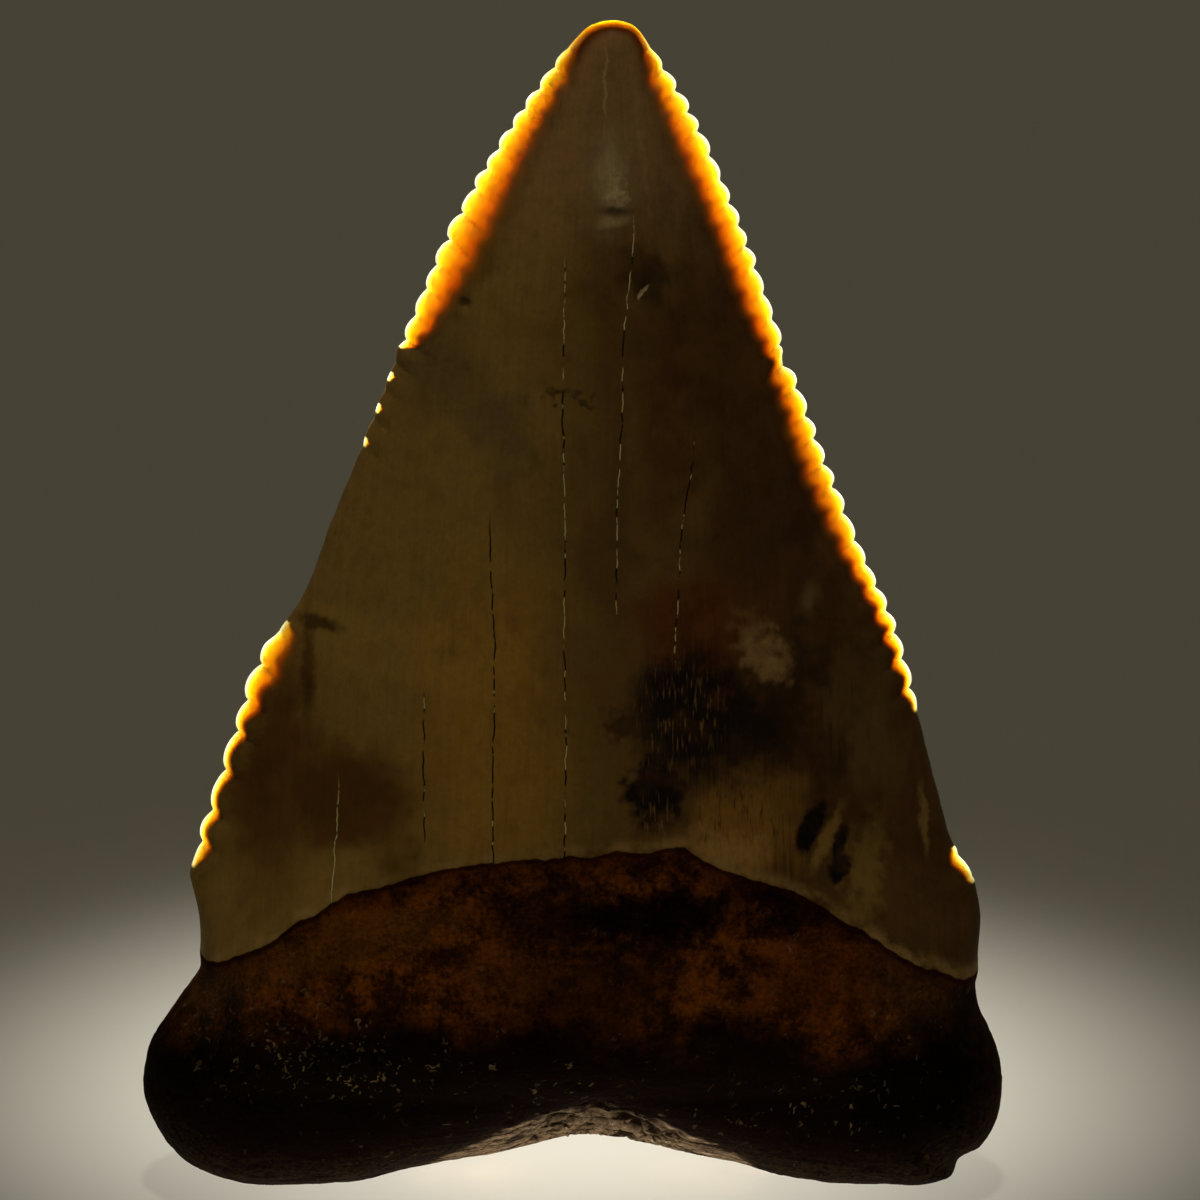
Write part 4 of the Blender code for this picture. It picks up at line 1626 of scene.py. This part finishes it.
@dataclass(frozen=True)
class EnamelFinish:
    """Semi-gloss olive and brown enamel with soft clouds, fine streaks, stains and hairline cracks, and
    painted sheen, highlights and shade.
    """

    # Paler on the left and darker on the right: partly the enamel's own tones, partly painted shade of light
    # from the left
    left: Colour = (70, 52, 20)
    middle: Colour = (54, 38, 13)
    right: Colour = (38, 23, 5)
    brown: Colour = (38, 19, 3)
    # Paler, greyer towards the tip: painted sheen
    top: Colour = (76, 55, 30)
    # Pale dust in the cracks, with a painted glint on their lifted edges
    dust: Colour = (126, 106, 68)
    lip: Colour = (78, 60, 30)
    # Painted shade in the cracks' dark lines
    crack_shade: Colour = (14, 9, 3)
    # Where and how strongly the painted sheen lightens the enamel towards the tip
    top_span: tuple[float, float] = (36.0, 44.0)
    top_share: float = 0.8
    brown_share: float = 0.4
    lip_share: float = 0.7
    crack_width: float = 0.045
    crack_depth: float = 0.04
    crack_sway: float = 0.22
    streak_depth: float = 0.02
    mottle_depth: float = 0.02
    grain_depth: float = 0.006
    roughness: float = 0.36
    roughness_spread: float = 0.22
    gloss: float = 0.10
    coat: float = 0.03
    coat_spread: float = 0.11
    coat_roughness: float = 0.3

    def crack(self, sites: Sites) -> tuple[Value, Value]:
        """How much of each place is crack, and how pale it is there.

        Args:
            sites: Places and measures on the tooth.

        Returns:
            The two shares.
        """
        graph = sites.graph
        inputs = {"Vector": sites.down_only, "Scale": 1.6, "Detail": 2.0}
        along = graph.read("ShaderNodeTexNoise", "Color", inputs=inputs)
        sway, pale, broken = graph.parts(along)
        beside = graph.math("ABSOLUTE", sites.read["crack"] + (sway - 0.5) * self.crack_sway)
        width = self.crack_width * (0.4 + broken)
        line = graph.rise(beside / width, 1.0, 0.3) * sites.read["opened"]
        pale = graph.rise(pale + sites.read["pale"] * 0.5 - 0.25, 0.50, 0.56)
        return line * graph.rise(broken, 0.36, 0.46), pale

    def colour(self, sites: Sites, line: Value, pale: Value) -> Value:
        """The colour at each place.

        Args:
            sites: Places and measures on the tooth.
            line: How much of each place is crack.
            pale: How pale the crack is there.

        Returns:
            The colour.
        """
        graph = sites.graph
        # Partly the enamel's own tones, partly painted shade of light from the left
        across = sites.read["across"] + (sites.cloud - 0.5) * 1.1
        ground = graph.mix(graph.rise(across, -0.45, 0.05), albedo(self.left), albedo(self.middle))
        ground = graph.mix(graph.rise(across, 0.05, 0.5), ground, albedo(self.right))
        # Painted sheen: paler and greyer towards the tip
        ground = graph.mix(graph.rise(sites.z, *self.top_span) * self.top_share, ground, albedo(self.top))
        for tone_patch in ENAMEL_STAINS_AND_PAINTED_LIGHT:
            ground = tone_patch.over(ground, sites)
        brown = graph.rise(sites.mottle * 0.6 + sites.cloud * 0.4, 0.48, 0.66)
        ground = graph.mix(brown * self.brown_share, ground, albedo(self.brown))
        lip = graph.rise(sites.read["above"], 0.75, 0.2) * graph.rise(sites.mottle, 0.35, 0.6)
        ground = graph.mix(lip * self.lip_share, ground, albedo(self.lip))
        waves = 0.9 * sites.cloud + 1.0 * sites.mottle + 0.4 * sites.grain
        waves = waves + 0.4 * sites.streak + 0.2 * sites.thread
        ground = graph.scaled(ground, graph.math("MAXIMUM", waves - 0.3, 0.2))
        # Cracks: dark lines of painted shade, and where they are pale, dust with a painted glint
        return graph.mix(line, ground, graph.mix(pale, albedo(self.crack_shade), albedo(self.dust)))

    def shader(self, sites: Sites) -> Value:
        """The shader of solid enamel.

        Args:
            sites: Places and measures on the tooth.

        Returns:
            The shader.
        """
        graph = sites.graph
        line, pale = self.crack(sites)
        height = sites.streak * self.streak_depth + sites.mottle * self.mottle_depth
        height = height + sites.grain * self.grain_depth - line * self.crack_depth
        shine = graph.rise(sites.cloud * 0.6 + sites.mottle * 0.4, 0.35, 0.6)
        inputs = {
            "Base Color": self.colour(sites, line, pale),
            "Roughness": self.roughness + self.roughness_spread * sites.mottle,
            "Specular IOR Level": self.gloss,
            "Coat Weight": self.coat + self.coat_spread * shine,
            "Coat Roughness": self.coat_roughness,
            "Normal": sites.bump(height),
        }
        return graph.read("ShaderNodeBsdfPrincipled", inputs=inputs)


@dataclass(frozen=True)
class RootFinish:
    """Matt root: mottled orange brown above, nearly black lobes with pale pores, and a pale arch."""

    upper: Colour = (59, 28, 3)
    rust: Colour = (24, 8, 1)
    lobes: Colour = (6, 2, 1)
    seam: Colour = (20, 4, 1)
    # Grey-olive along the lobes' lower rims: partly fibres of the root's own tone, partly painted light from
    # below
    rim: Colour = (22, 15, 7)
    arch: Colour = (68, 56, 43)
    arch_dark: Colour = (16, 10, 5)
    ridge: Colour = (112, 98, 82)
    fleck: Colour = FLECK_TONE
    fleck_lean: float = 32.0
    fleck_spacing: Point = (0.22, 0.50, 0.60)
    fleck_size: float = 0.18
    fleck_spread: float = 0.25
    fleck_depth: float = 0.04
    dot_spacing: Point = (0.33, 0.33, 0.33)
    dot_share: float = 0.8
    low_span: tuple[float, float] = (8.8, 6.6)
    rim_span: tuple[float, float] = (6.0, 2.0)
    rim_share: float = 0.65
    grain_depth: float = 0.09
    mottle_depth: float = 0.05
    fibre_depth: float = 0.06
    roughness: float = 0.85
    gloss: float = 0.03

    def spots(self, sites: Sites, spacing: Point, where: Value, least: float) -> Value:
        """Small pale spots, leaning to the right, with more of them where a mask says so.

        Args:
            sites: Places on the tooth.
            spacing: How far apart the spots are across, through and along themselves.
            where: Mask of the places that have more.
            least: Share of the cells that stay empty outside the mask.

        Returns:
            How much of each place is spot.
        """
        graph = sites.graph
        turn = (0.0, math.radians(self.fleck_lean), 0.0)
        inputs = {"Vector": sites.frayed, "Rotation": turn, "Scale": spacing}
        place = graph.read("ShaderNodeMapping", settings={"vector_type": "TEXTURE"}, inputs=inputs)
        cells = graph.node("ShaderNodeTexVoronoi", inputs={"Vector": place, "Scale": 1.0})
        distance, own = Value(graph, cells.outputs["Distance"]), Value(graph, cells.outputs["Color"])
        pick, size, _ = graph.parts(own)
        chosen = graph.rise(pick + where * 0.6, least, least + 0.7)
        return graph.rise(distance / (self.fleck_size + self.fleck_spread * size), 1.0, 0.4) * chosen

    def flecks(self, sites: Sites) -> Value:
        """Pores that pale dust fills: drawn out along the fibres of the lobes, and as dots.

        Args:
            sites: Places and measures on the tooth.

        Returns:
            How much of each place is fleck.
        """
        where = sum((patch.mask(sites) for patch in FLECKED), 0.0)
        drawn = self.spots(sites, self.fleck_spacing, where, 0.75)
        dots = self.spots(sites, self.dot_spacing, where, 0.9)
        return sites.graph.math("MAXIMUM", drawn, dots * self.dot_share)

    def fibres(self, sites: Sites) -> Value:
        """Fibres that run along the root's lower edge.

        Args:
            sites: Places and measures on the tooth.

        Returns:
            Their noise, from 0 to 1.
        """
        graph = sites.graph
        along = graph.vector(sites.x * 0.7, sites.read["edge"] * 3.6, sites.read["lingual"] * FACE_GAP)
        return graph.noise(along, 1.0, 4.0, 0.6)

    def colour(self, sites: Sites, fibres: Value, flecks: Value) -> Value:
        """The colour at each place.

        Args:
            sites: Places and measures on the tooth.
            fibres: The fibres' noise.
            flecks: How much of each place is fleck.

        Returns:
            The colour.
        """
        graph = sites.graph
        edge, hollow, above = (sites.read[name] for name in ("edge", "hollow", "above"))
        spots = sites.mottle * 0.75 + sites.grain * 0.25
        ground = graph.mix(graph.rise(spots, 0.38, 0.62), albedo(self.rust), albedo(self.upper))
        low = graph.rise(sites.z + (sites.cloud - 0.5) * 8.0, *self.low_span)
        ground = graph.mix(low, ground, albedo(self.lobes))
        for tone_patch in ROOT_STAINS:
            ground = tone_patch.over(ground, sites)
        # Lower rims: partly the root's own grey-olive fibres, partly painted light from below
        rim = graph.rise(edge + (sites.mottle - 0.5) * 3.0, 3.2, 0.8) * graph.rise(sites.z, *self.rim_span)
        rim = rim * graph.rise(fibres * 0.5 + sites.grain * 0.5, 0.40, 0.60)
        ground = graph.mix(rim * self.rim_share, ground, albedo(self.rim))
        ground = graph.mix(flecks * (1.0 - hollow), ground, albedo(self.fleck))
        ground = graph.mix(self.arched(sites, fibres, hollow), ground, self.arch_colour(sites, fibres))
        seam = graph.rise(above, -0.9, -0.05) * 0.35 + graph.rise(above, -0.22, -0.05) * 0.5
        ground = graph.mix(seam, ground, albedo(self.seam))
        waves = 1.0 * sites.mottle + 1.6 * sites.grain + 0.6 * fibres
        return graph.scaled(ground, graph.math("MAXIMUM", waves - 0.6, 0.15))

    @staticmethod
    def arched(sites: Sites, fibres: Value, hollow: Value) -> Value:
        """How much of each place belongs to the pale arch, which ends in fibres."""
        return sites.graph.rise(hollow + (fibres - 0.5) * 0.9 + (sites.mottle - 0.5) * 0.9, 0.25, 0.65)

    def arch_colour(self, sites: Sites, fibres: Value) -> Value:
        """Pale fibres along the arch, with paler ridges and painted shade in its cavities.

        Args:
            sites: Places and measures on the tooth.
            fibres: The fibres' noise.

        Returns:
            The colour.
        """
        graph = sites.graph
        pale = graph.rise(fibres + (sites.grain - 0.5) * 0.3, 0.38, 0.58)
        colour = graph.mix(pale, albedo(self.arch_dark), albedo(self.arch))
        colour = graph.mix(graph.rise(fibres, 0.60, 0.70), colour, albedo(self.ridge))
        # Painted shade: darker the deeper the cavities are carved
        return graph.mix(graph.rise(sites.read["cavity"], 0.12, 0.34), colour, albedo(self.arch_dark))

    def shader(self, sites: Sites) -> Value:
        """The shader of the root.

        Args:
            sites: Places and measures on the tooth.

        Returns:
            The shader.
        """
        fibres, flecks = self.fibres(sites), self.flecks(sites)
        height = sites.grain * self.grain_depth + sites.mottle * self.mottle_depth
        height = height + fibres * self.fibre_depth - flecks * self.fleck_depth
        inputs = {
            "Base Color": self.colour(sites, fibres, flecks),
            "Roughness": self.roughness,
            "Specular IOR Level": self.gloss,
            "Normal": sites.bump(height),
        }
        return sites.graph.read("ShaderNodeBsdfPrincipled", inputs=inputs)


@dataclass(frozen=True)
class AmberFinish:
    """Thin enamel that lets light through: pale yellow at the edge, then gold, orange and dark red."""

    stops: tuple[tuple[float, Colour], ...] = (
        (0.0, (0.95, 0.66, 0.16)),
        (0.28, (0.95, 0.58, 0.03)),
        (0.5, (0.94, 0.50, 0.01)),
        (0.72, (0.5, 0.18, 0.004)),
        (1.0, (0.12, 0.025, 0.001)),
    )
    # A pale yellow line along the very edge: painted glow of the light that comes through
    rim: Colour = (1.0, 0.88, 0.52)
    rim_width: float = 0.18
    radius: Colour = (1.0, 0.8, 0.4)
    scale: float = 2.8
    roughness: float = 0.5
    gloss: float = 0.0
    least_reach: float = 0.15
    unevenness: float = 0.25
    fade: tuple[float, float] = (1.3, 0.3)
    tip_redder: float = 0.64
    tip_span: tuple[float, float] = (45.2, 47.3)
    # In the notches between serrations the thin edge is made redder and darker: painted shade
    valley_redder: float = 0.12
    valley_darker: float = 0.6

    def share(self, sites: Sites) -> Value:
        """0 at the cutting edge and 1 where no more light comes through."""
        return sites.read["edge"] / sites.graph.math("MAXIMUM", sites.read["amber"], self.least_reach)

    def factor(self, sites: Sites) -> Value:
        """How much of the surface is thin enough to let light through.

        Args:
            sites: Places and measures on the tooth.

        Returns:
            A share for each place.
        """
        graph = sites.graph
        near = graph.rise(self.share(sites) + (sites.mottle - 0.5) * self.unevenness, *self.fade)
        return near * graph.rise(sites.read["amber"], 0.05, self.least_reach) * sites.on_crown

    def shader(self, sites: Sites) -> Value:
        """The shader of the thin edge.

        Args:
            sites: Places and measures on the tooth.

        Returns:
            The shader.
        """
        graph = sites.graph
        valley = graph.clamped(sites.read["valley"])
        tip = graph.rise(sites.z, *self.tip_span)
        # Painted shade: redder in the notches between serrations
        share = self.share(sites) + valley * self.valley_redder + tip * self.tip_redder
        colour = graph.read("ShaderNodeValToRGB", settings={"stops": self.stops}, inputs={0: share})
        # Painted glow of the light that comes through, as a pale yellow line along the very edge
        rim = graph.rise(sites.read["edge"], self.rim_width, 0.03) * (1.0 - valley) * (1.0 - tip)
        colour = graph.mix(rim, colour, self.rim)
        inputs = {
            # Painted shade: darker in the notches between serrations
            "Base Color": graph.scaled(colour, 1.0 - self.valley_darker * valley),
            "Roughness": self.roughness,
            "Specular IOR Level": self.gloss,
            "Subsurface Weight": 1.0,
            "Subsurface Radius": self.radius,
            "Subsurface Scale": self.scale * MM,
        }
        return graph.read("ShaderNodeBsdfPrincipled", inputs=inputs)


@dataclass(frozen=True)
class FossilFinish:
    """The finish of the whole tooth."""

    enamel: EnamelFinish = EnamelFinish()
    root: RootFinish = RootFinish()
    amber: AmberFinish = AmberFinish()

    def material(self) -> bpy.types.Material:
        """The material of root, enamel and thin edges.

        Returns:
            The material.
        """
        made = bpy.data.materials.new("fossil_tooth_finish")
        made.use_nodes = True
        graph = Graph(made.node_tree)
        sites = Sites(graph)
        inputs = {0: sites.on_crown, 1: self.root.shader(sites), 2: self.enamel.shader(sites)}
        solid = graph.read("ShaderNodeMixShader", inputs=inputs)
        inputs = {0: self.amber.factor(sites), 1: solid, 2: self.amber.shader(sites)}
        surface = graph.read("ShaderNodeMixShader", inputs=inputs)
        graph.node("ShaderNodeOutputMaterial", inputs={"Surface": surface})
        return made


@dataclass(frozen=True)
class Tooth:
    """The tooth as one piece."""

    form: Form = FORM
    net: NetSizes = NetSizes()
    relief: ReliefSizes = ReliefSizes()
    finish: FossilFinish = FossilFinish()

    def mesh(self) -> bpy.types.Mesh:
        """Joins the two faces at the outline, in the place of the solid.

        Returns:
            The mesh, with the measures of its points as attributes.
        """
        ruler = Ruler(self.form.outline.closed())
        rim = len(ruler.outline)
        front, back = (FaceNet(self.form, face, ruler, self.net).build() for face in Face)
        own = len(front.place)
        renumber = np.concatenate([np.arange(rim), own + np.arange(len(back.place) - rim)])
        places = np.vstack([front.place, back.place[rim:]])
        places[:rim, 1] = self.form.middle(*ruler.outline.T)
        triangles = np.vstack([front.triangles, renumber[back.triangles][:, ::-1]])
        places = self.in_frame(places)
        mesh = bpy.data.meshes.new(NODE)
        mesh.from_pydata(places, [], triangles)
        for name in front.measures:
            values = np.concatenate([front.measures[name], back.measures[name][rim:]])
            mesh.attributes.new(name, "FLOAT", "POINT").data.foreach_set("value", values)
        mesh.validate()
        mesh.shade_smooth()
        return mesh

    @staticmethod
    def in_frame(places: np.ndarray) -> np.ndarray:
        """Centres the points on the solid's box and turns millimetres into metres.

        Args:
            places: The points in millimetres.

        Returns:
            The points in metres, inside that box.
        """
        low, high = (np.array(corner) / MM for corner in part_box(NODE))
        shift = (low + high - places.min(axis=0) - places.max(axis=0)) / 2
        shift[2], low[2] = 0.0, places[:, 2].min()
        return np.clip(places + shift, low, high) * MM

    def build(self) -> bpy.types.Object:
        """Builds the tooth, carves its relief and dresses it.

        Returns:
            The finished piece.
        """
        mesh = self.mesh()
        rough = bpy.data.objects.new("tooth_net", mesh)
        bpy.context.collection.objects.link(rough)
        modifier = rough.modifiers.new("Relief", "NODES")
        modifier.node_group = Relief(self.relief).tree()
        sockets = {item.name: item.identifier for item in modifier.node_group.interface.items_tree}
        for name, size in vars(self.relief).items():
            modifier[sockets[name]] = size
        modifier[sockets["Material"]] = self.finish.material()
        evaluated = rough.evaluated_get(bpy.context.evaluated_depsgraph_get())
        carved = bpy.data.meshes.new_from_object(evaluated)
        bpy.data.objects.remove(rough)
        piece = bpy.data.objects.new("fossil_tooth", carved)
        bpy.context.collection.objects.link(piece)
        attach(piece, BODY)
        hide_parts(NODE)
        return piece


@dataclass(frozen=True)
class Lamp:
    """A soft light that shines from a place towards another, both in millimetres.

    Attributes:
        size: How wide the light is.
        power: Its power in watts.
        angle: How far its light spreads, in degrees.
        roll: How far it is turned about the way it shines, in degrees.
    """

    name: str
    place: Point
    aim: Point
    size: float
    power: float
    colour: Colour
    angle: float
    roll: float = 0.0

    def data(self) -> bpy.types.Light:
        """The light itself."""
        raise NotImplementedError

    def build(self) -> None:
        """Builds the light and turns it towards its aim."""
        data = self.data()
        data.energy = self.power
        data.color = self.colour
        light = bpy.data.objects.new(self.name, data)
        light.location = Vector(self.place) * MM
        towards = (Vector(self.aim) - Vector(self.place)).to_track_quat("-Z", "Y")
        turn = Quaternion((0.0, 0.0, 1.0), math.radians(self.roll))
        light.rotation_euler = (towards @ turn).to_euler()
        light.visible_camera = False
        bpy.context.collection.objects.link(light)


@dataclass(frozen=True)
class Strip(Lamp):
    """A long, narrow soft light.

    Attributes:
        length: How long the light is.
        back: How far behind the tooth a strip stands that lights a cutting edge from behind.
        drop: How far below the middle of its stretch of the edge it stands.
        lift: How far above the middle of its stretch it aims.
        narrow: How wide it is.
        spread: How far its light spreads, in degrees.
        warm: Its colour.
    """

    length: float = 20.0
    back: ClassVar[float] = 45.0
    drop: ClassVar[float] = 2.0
    lift: ClassVar[float] = 0.3
    narrow: ClassVar[float] = 1.0
    spread: ClassVar[float] = 3.0
    warm: ClassVar[Colour] = (1.0, 0.93, 0.80)

    def data(self) -> bpy.types.Light:
        """An area light.

        Returns:
            The light's data.
        """
        data = bpy.data.lights.new(self.name, "AREA")
        data.shape = "RECTANGLE"
        data.size = self.size * MM
        data.size_y = self.length * MM
        data.spread = math.radians(self.angle)
        return data

    @classmethod
    def behind(cls, name: str, ends: Line, power: float) -> "Strip":
        """A strip behind a stretch of a cutting edge.

        Args:
            name: The light's name.
            ends: Upper and lower end of the stretch, as (x, z).
            power: The light's power in watts.

        Returns:
            The strip, which shines forwards and a little upwards.
        """
        (top_x, top), (low_x, low) = ends
        x, z = (top_x + low_x) / 2, (top + low) / 2
        roll = math.degrees(math.atan2(top_x - low_x, top - low))
        length = math.hypot(top_x - low_x, top - low)
        place, aim = (x, cls.back, z - cls.drop), (x, 0.0, z + cls.lift)
        return cls(name, place, aim, cls.narrow, power, cls.warm, cls.spread, roll, length)


@dataclass(frozen=True)
class Spot(Lamp):
    """A round pool of light."""

    blend: float = 0.7

    def data(self) -> bpy.types.Light:
        """A spot light.

        Returns:
            The light's data.
        """
        data = bpy.data.lights.new(self.name, "SPOT")
        data.shadow_soft_size = self.size * MM
        data.spot_size = math.radians(self.angle)
        data.spot_blend = self.blend
        return data


@dataclass(frozen=True)
class Studio:
    """Camera, floor, soft lights and the air around them. Places are in millimetres."""

    target: Point = (1.10, 3.31, 23.75)
    camera_distance: float = 450.0
    camera_down: float = 18.0
    sensor: float = 36.0
    focal_pixels: float = 11025.0
    frame_pixels: float = 1200.0
    floor_size: float = 4000.0
    floor_colour: Colour = (0.86, 0.83, 0.76)
    floor_roughness: float = 0.9
    floor_glow: float = 0.12
    world_colour: Colour = (0.070, 0.065, 0.048)
    world_strength: float = 1.0
    lights: tuple[Lamp, ...] = (
        Spot("light from above", (0.0, -6.0, 270.0), (0.0, 8.0, 0.0), 22.0, 0.75, (1.0, 0.96, 0.86), 10.0),
        Spot("light from below", (0.0, 9.0, -200.0), (0.0, 9.0, 0.0), 12.0, 12.5, (1.0, 0.97, 0.88), 14.0),
        Strip.behind("strip behind the upper left edge", ((-0.3, 47.4), (-8.8, 30.0)), 0.00070),
        Strip.behind("strip behind the tip", ((0.4, 47.6), (2.8, 47.6)), 0.00012),
        Strip.behind("strip behind the lower left edge", ((-12.0, 22.6), (-15.7, 12.6)), 0.00030),
        Strip.behind("strip behind the right edge", ((3.2, 47.4), (14.4, 19.0)), 0.00110),
        Strip.behind("strip behind the right shoulder", ((15.7, 13.9), (16.3, 12.3)), 0.00006),
    )

    def camera(self) -> None:
        """The camera, level and looking down at the lingual face."""
        data = bpy.data.cameras.new("camera")
        data.sensor_width = self.sensor
        data.lens = self.sensor * self.focal_pixels / self.frame_pixels
        down = math.radians(self.camera_down)
        forward = Vector((0.0, math.cos(down), -math.sin(down)))
        camera = bpy.data.objects.new("camera", data)
        camera.location = (Vector(self.target) - forward * self.camera_distance) * MM
        camera.rotation_euler = (math.pi / 2 - down, 0.0, 0.0)
        bpy.context.collection.objects.link(camera)
        bpy.context.scene.camera = camera

    def floor(self) -> None:
        """A plain pale floor that lets a little light through from below."""
        half = self.floor_size / 2 * MM
        mesh = bpy.data.meshes.new("floor")
        square = [(-half, -half, 0.0), (half, -half, 0.0), (half, half, 0.0), (-half, half, 0.0)]
        mesh.from_pydata(square, [], [(0, 1, 2, 3)])
        material = bpy.data.materials.new("pale_floor")
        material.use_nodes = True
        graph = Graph(material.node_tree)
        inputs = {"Base Color": (*self.floor_colour, 1.0), "Roughness": self.floor_roughness}
        solid = graph.read("ShaderNodeBsdfPrincipled", inputs=inputs)
        glow = graph.read("ShaderNodeBsdfTranslucent", inputs={"Color": (*self.floor_colour, 1.0)})
        surface = graph.read("ShaderNodeMixShader", inputs={0: self.floor_glow, 1: solid, 2: glow})
        graph.node("ShaderNodeOutputMaterial", inputs={"Surface": surface})
        mesh.materials.append(material)
        floor = bpy.data.objects.new("floor", mesh)
        bpy.context.collection.objects.link(floor)

    def air(self) -> None:
        """An even, dim light from all round."""
        world = bpy.data.worlds.new("air")
        world.use_nodes = True
        graph = Graph(world.node_tree)
        inputs = {"Color": (*self.world_colour, 1.0), "Strength": self.world_strength}
        light = graph.read("ShaderNodeBackground", inputs=inputs)
        graph.node("ShaderNodeOutputWorld", inputs={"Surface": light})
        bpy.context.scene.world = world

    def build(self) -> None:
        """Sets up the whole studio."""
        self.camera()
        self.floor()
        self.air()
        for light in self.lights:
            light.build()
        bpy.context.scene.view_settings.view_transform = "Standard"


def corners(box: Any) -> list[list[float]]:
    """A box as plain lists of numbers."""
    return [[float(value) for value in corner] for corner in box]


def main() -> None:
    """Builds the studio and the tooth, and logs how many triangles the tooth has."""
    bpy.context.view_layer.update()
    Studio().build()
    tooth = Tooth().build()
    log.info("%s: %d triangles", tooth.name, len(tooth.data.polygons))


if __name__ == "__main__":
    logging.basicConfig(level=logging.INFO, format="%(message)s")
    main()
